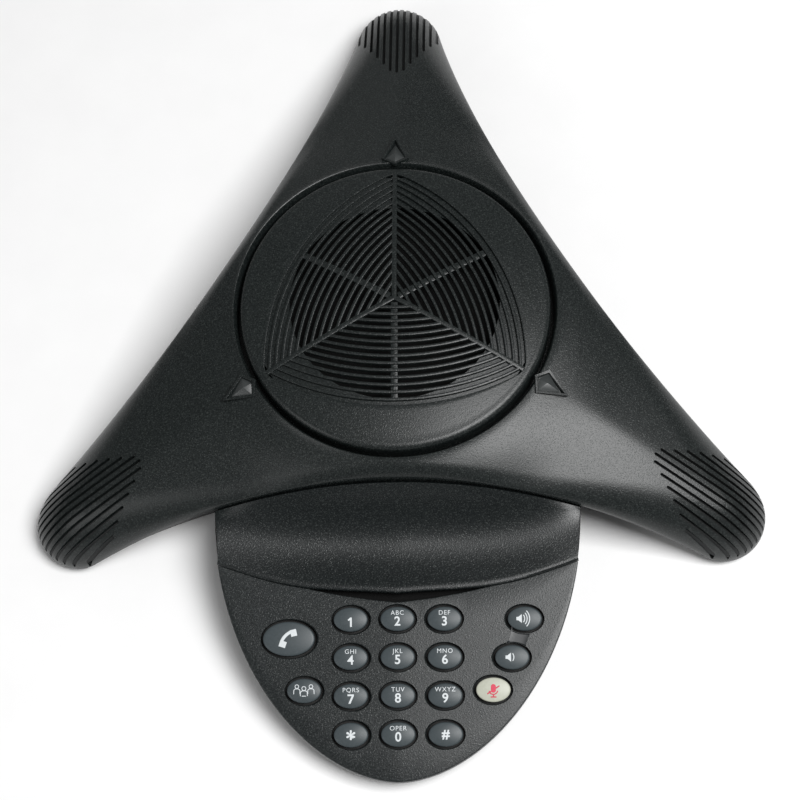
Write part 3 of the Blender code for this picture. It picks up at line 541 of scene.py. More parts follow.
def makeLiner():
    # dark lining behind a nose's slots: deep at the top and close behind the wall near the rim
    sections = []
    for point, inward in halfOutline(console["baySteps"], console["armSteps"], console["tipSteps"]):
        if point.x < micSlots["linerStart"]:
            continue
        length = inwardLength(point, inward, False, 0.0)
        section = []
        for k in range(micSlots["linerRows"] + 1):
            distance = length * k / micSlots["linerRows"]
            sunk = softStep(distance / micSlots["linerReach"])
            depth = micSlots["linerShallow"] + (micSlots["linerDeep"] - micSlots["linerShallow"]) * sunk
            place = point + inward * (depth + distance * (length - depth) / length)
            height = shellHeight(point, inward, (place - point).length) - micSlots["linerDrop"] * depth
            section.append(Vector((place.x, max(place.y, 0.0), height)))
        sections.append(section)
    half = sectionGrid("nose_liner", sections)
    addModifier(half, "MIRROR", use_axis=(False, True, False), merge_threshold=weld)
    mergeDoubles(half, weld)
    addModifier(half, "SOLIDIFY", thickness=micSlots["linerSkin"], offset=-1)
    return half


housing = makeHousing()
noseCuts = makeSlotCutter()
linerShape = makeLiner()
for armName, angle in armAngles.items():
    cutter = copyOf(noseCuts, angle)
    moveBy(cutter, (hub.x, hub.y, 0))
    cutAway(housing, cutter)
    liner = copyOf(linerShape, angle)
    liner.name = "nose_liner_" + armName
    moveBy(liner, (hub.x, hub.y, 0))
    smoothByAngle(liner, 40)
    register(liner, "housing", surfaces["lower_housing"])
bpy.data.objects.remove(noseCuts, do_unlink=True)
bpy.data.objects.remove(linerShape, do_unlink=True)
smoothByAngle(housing, 32)
register(housing, "housing", surfaces["upper_housing"], ("top_shell",))
print("upper housing made", len(housing.data.polygons))


# status lights: faceted kite lenses in raised bezels

# corners as millimetres from the hub: inner tip, widest place, half width there, outer tip
kite = {
    "lens": (67.2, 70.7, 4.5, 78.4), "lensRim": 0.45 * mm, "lensDeep": 4 * mm, "lensEdge": 0.12 * mm,
    "peakAlong": 72.6 * mm, "peakProud": 1.85 * mm,
    "bezel": (66.2, 70.1, 5.9, 82.2), "rim": 0.62 * mm, "bezelProud": 0.70 * mm, "bezelSlope": 0.13,
    "bezelSink": 1.4 * mm, "bezelSkin": 1.6 * mm, "bezelEdge": 0.14 * mm,
}


def kiteCorners(key):
    tipIn, widest, halfWidth, tipOut = [value * mm for value in kite[key]]
    return [(tipIn, 0.0), (widest, halfWidth), (tipOut, 0.0), (widest, -halfWidth)]


def ridgeAt(along):
    return crownHeight(Vector((along, 0.0)), False)


def makeBezel():
    # a kite of four sides: extruded, inset for its rim, then sunk inside
    deselectAll()
    bpy.ops.mesh.primitive_circle_add(vertices=4, radius=1, fill_type="NGON")
    bezel = bpy.context.object
    for vertex, (along, across) in zip(bezel.data.vertices, kiteCorners("bezel")):
        vertex.co = (along, across, ridgeAt(along) + kite["bezelProud"] - kite["bezelSlope"] * abs(across))
    bpy.ops.object.mode_set(mode="EDIT")
    bpy.ops.mesh.select_all(action="SELECT")
    bpy.ops.mesh.normals_make_consistent(inside=False)
    bpy.ops.mesh.inset(thickness=kite["rim"], depth=0)
    bpy.ops.mesh.extrude_region_move(TRANSFORM_OT_translate={"value": (0, 0, -kite["bezelSink"])})
    bpy.ops.object.mode_set(mode="OBJECT")
    addModifier(bezel, "SOLIDIFY", thickness=kite["bezelSkin"], offset=-1, use_even_offset=False)
    addModifier(bezel, "BEVEL", width=kite["bezelEdge"], segments=2, limit_method="ANGLE",
                angle_limit=math.radians(30))
    return bezel


def makeLens():
    deselectAll()
    bpy.ops.mesh.primitive_cone_add(vertices=4, radius1=1, depth=1, end_fill_type="NOTHING")
    lens = bpy.context.object
    peak = kite["peakAlong"]
    fullTurn = 2 * math.pi
    ring = [v for v in lens.data.vertices if v.co.z < 0]
    ring.sort(key=lambda v: math.atan2(v.co.y, v.co.x) % fullTurn)
    corners = sorted(kiteCorners("lens"), key=lambda c: math.atan2(c[1], c[0] - peak) % fullTurn)
    apex = [v for v in lens.data.vertices if v.co.z > 0][0]
    for vertex, (along, across) in zip(ring, corners):
        vertex.co = (along, across, ridgeAt(along) + kite["lensRim"])
    apex.co = (peak, 0.0, ridgeAt(peak) + kite["peakProud"])
    bpy.ops.object.mode_set(mode="EDIT")
    bpy.ops.mesh.select_mode(type="EDGE")
    bpy.ops.mesh.select_all(action="DESELECT")
    bpy.ops.mesh.select_non_manifold(extend=False)
    bpy.ops.mesh.extrude_region_move(TRANSFORM_OT_translate={"value": (0, 0, -kite["lensDeep"])})
    bpy.ops.object.mode_set(mode="OBJECT")
    capEnds(lens)
    addModifier(lens, "BEVEL", width=kite["lensEdge"], segments=2, limit_method="ANGLE",
                angle_limit=math.radians(12))
    return lens


lightParts = ((makeBezel, "upper_housing", "lens_bezel"), (makeLens, "lens", "status_lens"))
for makePart, slotName, kind in lightParts:
    first = makePart()
    for armName, angle in armAngles.items():
        part = copyOf(first, angle)
        part.name = f"{kind}_{armName}"
        moveBy(part, (hub.x, hub.y, 0))
        smoothByAngle(part, 20)
        stoodFor = ("light_pipe_" + armName,) if kind == "status_lens" else ()
        register(part, "housing", surfaces[slotName], stoodFor)
    bpy.data.objects.remove(first, do_unlink=True)
print("lights made")


# speaker cover: a dome with three fields of arched slots between spokes

cover = {
    "top": coverHigh.z, "dome": 290 * mm, "fieldRadius": 62 * mm, "fieldMargin": 0.5 * mm, "fieldRows": 6,
    "radius": 65.2 * mm, "edgeHeight": 54.4 * mm, "edgeRound": 0.8, "edgeRows": 7,
    "skirt": coverLow.z, "skirtWall": 2.2 * mm,
    "rows": 15, "slot": 1.75 * mm, "firstRow": 2.9 * mm, "pitch": 3.08 * mm, "arc": 100 * mm,
    "depth": 1.7 * mm, "round": 0.3 * mm, "bulge": 0.02 * mm, "ribDrop": 0.03 * mm,
    "spokeHalf": 1.05 * mm, "spokeRun": (-0.6 * mm, 61.4 * mm), "spokeDrop": -0.01 * mm,
    "barHalf": 1.45 * mm, "barDrop": 0.95 * mm, "barStart": 2.0 * mm, "barOverlap": 0.5 * mm,
    "openRadius": 44 * mm, "grooveDepth": 1.35 * mm, "grooveStep": 2.7 * mm, "grooveRows": 6,
    "steps": 36, "turnSteps": 24,
}


def domeHeight(radius):
    return cover["top"] - (cover["dome"] - math.sqrt(cover["dome"] ** 2 - radius**2))


def slotPoint(row, share, offset):
    # a point on the arc of a row of slots; share runs from one spoke to the other, from -1 to 1
    centre = cover["firstRow"] + cover["pitch"] * row + offset - cover["arc"]
    along = (centre + math.sqrt(4 * cover["arc"] ** 2 - 3 * centre**2)) / 4
    across = share * along * math.sqrt(3)
    return Vector((centre + math.sqrt(cover["arc"] ** 2 - across**2), across))


def onDome(point, depth):
    return Vector((point.x, point.y, domeHeight(point.length) - depth))


def barSection(left, right, drop=0.0):
    # closed cross section of a bar between two points: rounded upper corners and straight sides
    width = (right - left).length
    corner = min(cover["round"], width * 0.4) / width
    rise = [(0, cover["depth"]), (0, cover["round"]), (corner * 0.3, cover["round"] * 0.3), (corner, 0.0)]
    fall = [(1 - share, depth) for share, depth in reversed(rise)]
    stops = rise + [(0.5, -cover["bulge"])] + fall + rise[:1]
    return [onDome(left.lerp(right, share), depth + drop) for share, depth in stops]


def makeRib(row):
    offset = cover["slot"] / 2
    sections = []
    for i in range(cover["steps"] + 1):
        share = -1 + 2 * i / cover["steps"]
        left, right = slotPoint(row, share, offset), slotPoint(row + 1, share, -offset)
        sections.append(barSection(left, right, cover["ribDrop"]))
    rib = sectionGrid("rib", sections)
    mergeDoubles(rib)
    capEnds(rib)
    return rib


def makeBar(direction, start, end, halfWidth, drop):
    out = Vector((math.cos(math.radians(direction)), math.sin(math.radians(direction))))
    side = Vector((-out.y, out.x)) * halfWidth
    sections = []
    for i in range(cover["turnSteps"] + 1):
        place = out * (start + (end - start) * i / cover["turnSteps"])
        sections.append(barSection(place + side, place - side, drop))
    bar = sectionGrid("bar", sections)
    mergeDoubles(bar)
    capEnds(bar)
    return bar


def makeField():
    # the plain outer part of one sector, from the last slot's wall over the rolled edge to the skirt
    last = cover["rows"] - 1
    sections = []
    edgeTurn = None
    for i in range(cover["steps"] + 1):
        share = -1 + 2 * i / cover["steps"]
        start = slotPoint(last, share, cover["slot"] / 2)
        turn = math.atan2(start.y, start.x)
        edgeTurn = edgeTurn or abs(turn)
        turn *= math.radians(60) / edgeTurn
        out = Vector((math.cos(turn), math.sin(turn)))
        near = min(start.length, cover["fieldRadius"] - cover["fieldMargin"])
        soft = cover["round"]
        line = [(near, cover["depth"]), (near, soft), (near + soft * 0.3, soft * 0.3), (near + soft, 0.0)]
        run = cover["fieldRadius"] - near - soft
        line += [(near + soft + run * k / cover["fieldRows"], 0.0) for k in range(1, cover["fieldRows"] + 1)]
        section = [onDome(out * radius, depth) for radius, depth in line]
        high = section[-1].z
        for k in range(1, cover["edgeRows"] + 1):
            swing = math.pi / 2 * k / cover["edgeRows"]
            radius = cover["fieldRadius"] + (cover["radius"] - cover["fieldRadius"]) * math.sin(swing)
            rise = (high - cover["edgeHeight"]) * math.cos(swing) ** cover["edgeRound"]
            section.append(Vector((*(out * radius), cover["edgeHeight"] + rise)))
        inner = cover["radius"] - cover["skirtWall"]
        for radius, height in ((cover["radius"], cover["skirt"]), (inner, cover["skirt"]),
                               (inner, cover["edgeHeight"]), (near, domeHeight(near) - cover["depth"])):
            section.append(Vector((*(out * radius), height)))
        sections.append(section)
    field = sectionGrid("field", sections)
    mergeDoubles(field)
    return field


def makeGrooveFloor():
    # one third of the ring behind the shallow outer grooves
    radii = [cover["openRadius"] + k * cover["grooveStep"] for k in range(cover["grooveRows"] + 1)]
    line = [(radii[0], cover["depth"])] + [(radius, cover["grooveDepth"]) for radius in radii]
    line += [(radii[-1], cover["depth"]), line[0]]
    sections = []
    for i in range(cover["turnSteps"] + 1):
        turn = math.radians(-60 + 120 * i / cover["turnSteps"])
        out = Vector((math.cos(turn), math.sin(turn)))
        sections.append([onDome(out * radius, depth) for radius, depth in line])
    ring = sectionGrid("groove_floor", sections)
    mergeDoubles(ring)
    return ring


ribs = [makeRib(row) for row in range(cover["rows"] - 1)]
spoke = makeBar(60, *cover["spokeRun"], cover["spokeHalf"], cover["spokeDrop"])
barEnd = cover["openRadius"] + cover["barOverlap"]
crossBar = makeBar(0, cover["barStart"], barEnd, cover["barHalf"], cover["barDrop"])
sector = joinAll("sector", ribs + [spoke, crossBar, makeField(), makeGrooveFloor()])
sectors = [copyOf(sector, angle) for angle in (30, 150, 270)]
bpy.data.objects.remove(sector, do_unlink=True)
speakerCover = joinAll("speaker_dome", sectors)
moveBy(speakerCover, (hub.x, hub.y, 0))
mergeDoubles(speakerCover, outward=False)
smoothByAngle(speakerCover, 35)
register(speakerCover, "housing", surfaces["upper_housing"], ("speaker_cover",))
print("speaker cover made", len(speakerCover.data.polygons))


# lower housing: tapered flanks under the console and under the keypad

tongue = {
    "root": -73.6 * mm, "length": 110.4 * mm, "halfWidth": 76.3 * mm, "bow": 1.1, "frontHeight": 12.1 * mm,
    "slope": math.radians(11.6), "ridge": math.radians(1.35), "ridgeSoft": 1.5 * mm, "skin": 2.4 * mm,
    "round": 0.6 * mm, "tip": -113.0 * mm, "rearSlope": 0.09, "rearBend": 1.9,
}
base = {
    "floor": 2 * mm, "floorSkin": 1.6 * mm, "rimGap": 0.3 * mm, "steps": (20, 20, 12), "rows": 6,
    "footInset": 1.5 * mm, "footShare": 0.28, "wallFoot": 1.0 * mm, "topInset": 0.4 * mm, "wall": 2.4 * mm,
    "floorReach": 2.6 * mm, "windowReach": 30 * mm, "windowShift": 13 * mm, "windowGap": 0.6 * mm,
    # the rounded foot, as millimetres inside the wall's foot and above the floor
    "footRound": ((1.2, 0.0), (0.3, 0.25), (0.0, 1.0)),
}
tray = {
    "steps": 40, "rows": 6, "topInset": 0.3 * mm, "footInset": 2.9 * mm, "wallFoot": 0.8 * mm,
    "footRound": ((4.2, 0.0), (3.2, 0.2)), "wallTop": 2.3 * mm, "wallBottom": 5.2 * mm, "rootReach": 2.5 * mm,
}


def panelHeight(x, y):
    front = tongue["root"] - tongue["length"]
    soft = math.hypot(x, tongue["ridgeSoft"]) - tongue["ridgeSoft"]
    return tongue["frontHeight"] + (y - front) * math.tan(tongue["slope"]) - soft * math.tan(tongue["ridge"])


def plateBack(x):
    # the keypad's rear line, a soft V
    return tongue["tip"] + tongue["rearSlope"] * abs(x) + tongue["rearBend"] * x**2


def rimHeight(point):
    return edgeHeight(point) - console["skirt"] - base["rimGap"]


def makeLowerConsole():
    # a wall lofted from the floor's edge to the rim under the upper housing, on the same mirrored half arm
    sections = []
    floor = base["floor"]
    for point, inward in halfOutline(*base["steps"]):
        rim = rimHeight(point)
        foot = base["footInset"] + base["footShare"] * (rim - floor)
        low = floor + base["wallFoot"]
        line = [(foot + inside * mm, floor + above * mm) for inside, above in base["footRound"]]
        for k in range(1, base["rows"] + 1):
            share = k / base["rows"]
            line.append((foot + (base["topInset"] - foot) * share, low + (rim - low) * share))
        line += [(base["wall"], rim), (foot + base["floorReach"], floor + base["floorSkin"])]
        section = []
        for distance, height in line:
            place = point + inward * distance
            section.append(Vector((place.x, max(place.y, 0.0), height)))
        sections.append(section)
    half = sectionGrid("lower_half", sections)
    addModifier(half, "MIRROR", use_axis=(False, True, False), merge_threshold=tightWeld)
    arms = [copyOf(half, angle) for angle in armAngles.values()]
    bpy.data.objects.remove(half, do_unlink=True)
    lower = joinAll("lower_housing", arms)
    moveBy(lower, (hub.x, hub.y, 0))
    mergeDoubles(lower, looseWeld)
    capEnds(lower)
    return lower


def makeSocketWindow():
    low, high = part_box("line_jack")
    centre = (low.x - base["windowShift"], (low.y + high.y) / 2, (low.z + high.z) / 2)
    size = (base["windowReach"], high.y - low.y + base["windowGap"], high.z - low.z + base["windowGap"])
    deselectAll()
    bpy.ops.mesh.primitive_cube_add(size=1, location=centre, scale=size)
    window = bpy.context.object
    settle(window)
    return window


def tonguePoint(turn, inset):
    x = (tongue["halfWidth"] - inset) * math.cos(turn) ** tongue["bow"]
    return x, tongue["root"] - (tongue["length"] - inset) * math.sin(turn)


def makeTongueBase():
    # the right half of the tongue's lower tray, mirrored; its root ends inside the console's flank
    sections = []
    floor = base["floor"]
    low = floor + tray["wallFoot"]
    foot, lean = tray["footInset"], tray["footInset"] - tray["topInset"]
    for i in range(-1, tray["steps"] + 1):
        turn = math.pi / 2 * max(i, 0) / tray["steps"]
        back = tray["rootReach"] if i < 0 else 0.0
        top = panelHeight(*tonguePoint(turn, tray["topInset"])) - tongue["skin"] - base["rimGap"]
        line = [(inset * mm, floor + above * mm) for inset, above in tray["footRound"]]
        for k in range(tray["rows"] + 1):
            share = k / tray["rows"]
            line.append((foot - lean * share, low + (top - low) * share))
        line += [(tray["wallTop"], top), (tray["wallBottom"], floor + base["floorSkin"])]
        section = []
        for inset, height in line:
            x, y = tonguePoint(turn, inset)
            section.append(Vector((0.0 if i == tray["steps"] else x, y + back, height)))
        # the floor runs on to the middle
        section.insert(0, Vector((0.0, *section[0].yz)))
        section.append(Vector((0.0, *section[-1].yz)))
        sections.append(section)
    half = sectionGrid("lower_tongue", sections)
    addModifier(half, "MIRROR", use_axis=(True, False, False), merge_threshold=looseWeld)
    mergeDoubles(half, looseWeld)
    capEnds(half)
    return half


lowerConsole = makeLowerConsole()
cutAway(lowerConsole, makeSocketWindow())
smoothByAngle(lowerConsole, 30)
register(lowerConsole, "housing", surfaces["lower_housing"], ("base_shell",))
lowerTongue = makeTongueBase()
smoothByAngle(lowerTongue, 30)
register(lowerTongue, "housing", surfaces["lower_housing"], ("tongue_base",))
print("lower housing made")


# dish panel: the scooped blank between the console and the keypad

scoop = {
    "topHalf": 75.4 * mm, "lowHalf": 74.2 * mm, "steps": 64, "downSteps": 28, "depth": 9 * mm, "lean": 0.8,
    "rimBack": 1.0 * mm, "rimDrop": 3.4 * mm, "keypadGap": 0.25 * mm, "keypadRise": 0.3 * mm,
    "groove": 4.2 * mm, "grooveReach": 60 * mm, "skin": 1.1 * mm,
    # millimetres back from and above the two ends
    "trench": ((3.0, -2.6), (0.9, -2.6), (0.5, -2.2), (0.25, -0.6)),
    "lowEdge": ((-0.20, -0.10), (-0.26, -0.26), (-0.08, -0.7)),
}
# sizes of the black sheet that is painted shade under the gap between the dish and the keypad
shadeSheetShape = {
    "steps": 32, "reach": 0.8, "skin": 0.4 * mm,
    "section": ((0.0, -0.6), (0.0, -4.6), (-2.2, -5.1), (-4.4, -5.6)),
}


def rimLine(x):
    y = hub.y - (arcReach - math.sqrt(arcRadius**2 - x**2))
    return y, console["waistHeight"] - x**2 / (2 * console["archRadius"])


def dishEnds(share):
    # the top end under the console's rim and the low end behind the keypad
    topX, lowX = scoop["topHalf"] * share, scoop["lowHalf"] * share
    rimY, rimZ = rimLine(topX)
    groove = scoop["groove"] * max(1 - (lowX / scoop["grooveReach"]) ** 2, 0) ** 3
    lowY = plateBack(lowX) + scoop["keypadGap"] + groove
    top = Vector((topX, rimY - scoop["rimBack"], rimZ - scoop["rimDrop"]))
    return top, Vector((lowX, lowY, panelHeight(lowX, lowY) + scoop["keypadRise"]))


def offsetPoints(place, offsets):
    return [place + Vector((0, y, z)) * mm for y, z in offsets]


def makeDish():
    sections = []
    for i in range(scoop["steps"] + 1):
        share = math.sin(math.pi / 2 * (-1 + 2 * i / scoop["steps"]))
        top, low = dishEnds(share)
        section = offsetPoints(top, scoop["trench"])  # a trench runs under the rim
        for k in range(scoop["downSteps"] + 1):
            down = k / scoop["downSteps"]
            place = top.lerp(low, down)
            place.z -= scoop["depth"] * (1 - share**2) * math.sin(math.pi * down ** scoop["lean"])
            section.append(place)
        section += offsetPoints(low, scoop["lowEdge"])
        sections.append(section)
    dish = sectionGrid("dish_scoop", sections)
    addModifier(dish, "SOLIDIFY", thickness=scoop["skin"], offset=-1)
    return dish


def makeGrooveShadeSheet():
    # painted shade: a black sheet below the gap between the dish and the keypad, standing in for the shadow
    # in the groove
    sections = []
    for i in range(shadeSheetShape["steps"] + 1):
        share = shadeSheetShape["reach"] * (2 * i / shadeSheetShape["steps"] - 1)
        sections.append(offsetPoints(dishEnds(share)[1], shadeSheetShape["section"]))
    strip = sectionGrid("groove_lining", sections)
    addModifier(strip, "SOLIDIFY", thickness=shadeSheetShape["skin"], offset=-1)
    return strip


dish = makeDish()
smoothByAngle(dish, 40)
register(dish, "housing", surfaces["dish_plastic"], ("dish_panel",))
grooveShadeSheet = makeGrooveShadeSheet()
smoothByAngle(grooveShadeSheet, 40)
# the near-black acoustic_cloth material on this sheet is painted shade in the groove
register(grooveShadeSheet, "housing", surfaces["acoustic_cloth"])
print("dish made")


# keypad plate, with a sunk oval well for each key

keyNames = [name for name in frame["nodes"] if name.startswith("key_")]
keyShape = {
    "ratio": 9.9 / 14.0, "callRatio": 14.0 / 21.3, "proud": 1.6 * mm, "domeFall": 0.75 * mm, "domePower": 2.2,
    "rings": (0.15, 0.3, 0.45, 0.58, 0.7, 0.8, 0.88, 0.94), "split": -0.35 * mm, "sides": 56,
    # the cap's lower edge, as millimetres added to both half axes and above the plate
    "capEdge": ((-0.13, 0.76), (-0.04, 0.58), (0.0, 0.3)),
    "stemInset": 0.06 * mm, "stemTop": -0.36 * mm, "flangeTop": -2.8 * mm, "flangeLow": -3.4 * mm,
    "flangeWide": 1.2 * mm, "flangeRound": 0.15 * mm, "flangeDepth": 3.1 * mm,
    "well": 0.95 * mm, "wellDeep": -5 * mm, "wellTop": 0.3 * mm,
    # the well's rounded lip, as millimetres outside its wall and above the plate
    "wellLip": ((0.0, -0.45), (0.105, -0.18), (0.35, 0.02), (0.65, 0.3)),
}
plateShape = {
    "steps": 44, "cornerGap": 1.4 * mm, "cornerStep": 0.002, "swings": (30, 60, 90),
    "shares": (0.2, 0.4, 0.6, 0.8),
}
volume = {
    "half": 3.6 * mm, "flare": 3.0 * mm, "rows": 16, "above": 1.2 * mm, "below": 0.35 * mm, "gap": 0.06 * mm,
    "sink": 0.14 * mm, "edgeSink": 0.02 * mm, "skin": 0.3 * mm,
    "shares": (0.0, 0.06, 0.2, 0.35, 0.5, 0.65, 0.8, 0.94, 1.0),
}
slopeNormal = Vector((0, -math.sin(tongue["slope"]), math.cos(tongue["slope"])))


def keyPlace(name):
    # where the key's slide meets the plate, and its half width and half depth on the slope
    low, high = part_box(name)
    x = (low.x + high.x) / 2
    y = (low.y + high.y) / 2 - keyShape["flangeDepth"] * math.sin(tongue["slope"])
    halfWidth = (high.x - low.x) / 2 - keyShape["flangeWide"]
    ratio = keyShape["callRatio" if name == "key_phone" else "ratio"]
    return Vector((x, y, panelHeight(x, y))), halfWidth, halfWidth * ratio


def turnedOval(name, profile, halfWidth, halfDepth):
    # rings of an oval; profile holds a share of both half axes, a margin added to them, and the height
    sections = []
    for i in range(keyShape["sides"] + 1):
        turn = 2 * math.pi * i / keyShape["sides"]
        section = []
        for share, margin, height in profile:
            x = (halfWidth * share + margin) * math.cos(turn)
            y = (halfDepth * share + margin) * math.sin(turn)
            section.append(Vector((x, y, height)))
        sections.append(section)
    oval = sectionGrid(name, sections)
    mergeDoubles(oval)
    return oval


def standOnSlope(piece, place):
    piece.rotation_euler.x = tongue["slope"]
    piece.location = place
    settle(piece)


def plateCorner():
    # the turn at which the plate's outer edge first lies clear of its rear line
    turn = 0.0
    while plateBack(tonguePoint(turn, 0.0)[0]) - tonguePoint(turn, 0.0)[1] < plateShape["cornerGap"]:
        turn += plateShape["cornerStep"]
    return turn


def makePlate():
    # sections of the right half from the outer edge to the rear line, both rounded, then mirrored
    soft = tongue["round"]
    swings = [math.radians(angle) for angle in plateShape["swings"]]
    corner = plateCorner()
    steps = plateShape["steps"]
    sections = []
    for i in range(steps + 1):
        turn = corner + (math.pi / 2 - corner) * i / steps
        outer = tonguePoint(turn, 0.0)
        rear = plateBack(outer[0])
        line = [(outer, -tongue["skin"]), (outer, -soft)]
        for swing in swings:
            inset = soft * (1 - math.cos(swing))
            line.append((tonguePoint(turn, inset), soft * (math.sin(swing) - 1)))
        x, y = line[-1][0]
        line += [((x, y + (rear - soft - y) * share), 0.0) for share in plateShape["shares"]]
        for swing in swings[::-1] + [0.0]:
            line.append(((x, rear - soft * (1 - math.cos(swing))), soft * (math.sin(swing) - 1)))
        line += [((outer[0], rear), -tongue["skin"]), line[0]]
        section = [Vector((x, y, panelHeight(x, y) + height)) for (x, y), height in line]
        if i == steps:
            for place in section:
                place.x = 0.0
        sections.append(section)
    plate = sectionGrid("keypad_plate", sections)
    addModifier(plate, "MIRROR", use_axis=(True, False, False), merge_threshold=weld)
    mergeDoubles(plate, weld)
    capEnds(plate)
    return plate


def makeWell(name):
    place, halfWidth, halfDepth = keyPlace(name)
    well, deep, top = keyShape["well"], keyShape["wellDeep"], keyShape["wellTop"]
    profile = [(0, 0, deep), (1, well, deep)]
    profile += [(1, well + outside * mm, height * mm) for outside, height in keyShape["wellLip"]]
    profile.append((0, 0, top))
    cutter = turnedOval("well", profile, halfWidth, halfDepth)
    standOnSlope(cutter, place)
    return cutter


volumeUp = keyPlace("key_volume_up")[0]
volumeDown = keyPlace("key_volume_down")[0]


def waistOutline(margin):
    # hourglass between the two volume keys, from one key's middle to the other's
    axis = volumeDown - volumeUp
    length = axis.length
    axis = axis.normalized()
    side = axis.cross(slopeNormal).normalized()
    rows = []
    for i in range(volume["rows"] + 1):
        share = i / volume["rows"]
        half = volume["half"] + volume["flare"] * (2 * share - 1) ** 2 + margin
        centre = volumeUp + axis * length * share
        rows.append((centre - side * half, centre + side * half))
    return rows


def makeVolumeCut():
    up, down = slopeNormal * volume["above"], slopeNormal * volume["below"]
    sections = []
    for left, right in waistOutline(0.0):
        sections.append([left + up, right + up, right - down, left - down, left + up])
    cut = sectionGrid("volume_cut", sections)
    mergeDoubles(cut)
    capEnds(cut)
    return cut


def makeVolumeInlay():
    sections = []
    for left, right in waistOutline(-volume["gap"]):
        line = []
        for share in volume["shares"]:
            sink = volume["sink"] * (1 - (2 * share - 1) ** 4) + volume["edgeSink"]
            line.append(left.lerp(right, share) - slopeNormal * sink)
        sections.append(line)
    inlay = sectionGrid("volume_recess", sections)
    addModifier(inlay, "SOLIDIFY", thickness=volume["skin"], offset=-1)
    return inlay


plate = makePlate()
cutAway(plate, joinAll("wells", [makeWell(name) for name in keyNames]))
cutAway(plate, makeVolumeCut())
smoothByAngle(plate, 25)
register(plate, "housing", surfaces["keypad_plastic"], ("keypad_panel",))

inlay = makeVolumeInlay()
for name in ("key_volume_up", "key_volume_down"):
    cutAway(inlay, makeWell(name))
smoothByAngle(inlay, 40)
register(inlay, "housing", surfaces["volume"])
print("keypad plate made")


# keys and their printed signs

def capHeight(x, y, halfWidth, halfDepth):
    # height of a key's dome at a point measured from its middle
    reach = min(math.hypot(x / halfWidth, y / halfDepth), 1.0)
    return keyShape["proud"] - keyShape["domeFall"] * reach ** keyShape["domePower"]


def makeKey(name):
    # the coloured cap, and under it the black skirt with its flange
    place, halfWidth, halfDepth = keyPlace(name)
    split = keyShape["split"]
    profile = [(share, 0, capHeight(share, 0, 1, 1)) for share in (0, *keyShape["rings"])]
    profile += [(1, margin * mm, height * mm) for margin, height in keyShape["capEdge"]]
    profile += [(1, 0, split), (0, 0, split)]
    cap = turnedOval(name.replace("key_", "cap_"), profile, halfWidth, halfDepth)
    skirt, flange, soft = -keyShape["stemInset"], keyShape["flangeWide"], keyShape["flangeRound"]
    top, ledge, low = keyShape["stemTop"], keyShape["flangeTop"], keyShape["flangeLow"]
    profile = [(0, 0, top), (1, skirt, top), (1, skirt, ledge), (1, flange - soft, ledge),
               (1, flange, ledge - soft), (1, flange, low), (0, 0, low)]
    stem = turnedOval(name.replace("key_", "stem_"), profile, halfWidth, halfDepth)
    for piece in (cap, stem):
        standOnSlope(piece, place)
        smoothByAngle(piece, 50)
    slot = "mute_key" if name == "key_mute" else "key"
    register(cap, name + "_cap", surfaces[slot], (name,))
    register(stem, name + "_cap", surfaces["black_rubber"])


ink = {
    "thick": 0.05 * mm, "lift": 0.045 * mm, "step": 0.4 * mm, "spacing": 1.16,
    "digit": 5.2 * mm, "digitDown": 1.15 * mm, "digitHeavy": 0.10 * mm,
    "letters": 2.6 * mm, "lettersUp": 2.4 * mm,
    "star": 6.4 * mm, "starDown": 1.3 * mm, "hash": 3.9 * mm, "markHeavy": 0.12 * mm,
    "fineLine": 0.3 * mm, "cradleLine": 0.34 * mm, "line": 0.36 * mm, "boldLine": 0.4 * mm,
    "gripLine": 0.95 * mm,
}


def writeText(words, size, x, y, heavy=0.0):
    deselectAll()
    bpy.ops.object.text_add()
    text = bpy.context.object
    text.data.body = words
    text.data.size = size
    text.data.offset = heavy
    text.data.extrude = ink["thick"] / 2
    text.data.align_x, text.data.align_y = "CENTER", "CENTER"
    text.data.space_character = ink["spacing"]
    bpy.ops.object.convert(target="MESH")
    text = bpy.context.object
    text.location = (x, y, 0)
    settle(text)
    refine(text, 1)
    return text


def refine(piece, cuts):
    # more points, so that a print can follow a dome
    choose(piece)
    bpy.ops.object.mode_set(mode="EDIT")
    bpy.ops.mesh.select_all(action="SELECT")
    bpy.ops.mesh.quads_convert_to_tris()
    bpy.ops.mesh.subdivide(number_cuts=cuts)
    bpy.ops.object.mode_set(mode="OBJECT")


def drawLine(points, width, closed=False):
    # a flat stroke through points, as a round wire pressed flat
    curve = bpy.data.curves.new("stroke", "CURVE")
    curve.dimensions = "3D"
    curve.bevel_depth = width / 2
    curve.bevel_resolution = 2
    curve.use_fill_caps = True
    line = curve.splines.new("POLY")
    fine = []
    for start, end in zip(points, points[1:] + points[:1] if closed else points[1:]):
        start, end = Vector(start), Vector(end)
        cuts = max(round((end - start).length / ink["step"]), 1)
        fine += [start.lerp(end, k / cuts) for k in range(cuts)]
    if not closed:
        fine.append(points[-1])
    line.points.add(len(fine) - 1)
    for spot, (x, y) in zip(line.points, fine):
        spot.co = (x, y, 0, 1)
    line.use_cyclic_u = closed
    stroke = bpy.data.objects.new("stroke", curve)
    scene.collection.objects.link(stroke)
    choose(stroke)
    bpy.ops.object.convert(target="MESH")
    stroke = bpy.context.object
    stroke.scale.z = ink["thick"] / width
    settle(stroke)
    return stroke


def arcPoints(x, y, radius, start, end, steps=12):
    points = []
    for i in range(steps + 1):
        turn = math.radians(start + (end - start) * i / steps)
        points.append((x + radius * math.cos(turn), y + radius * math.sin(turn)))
    return points


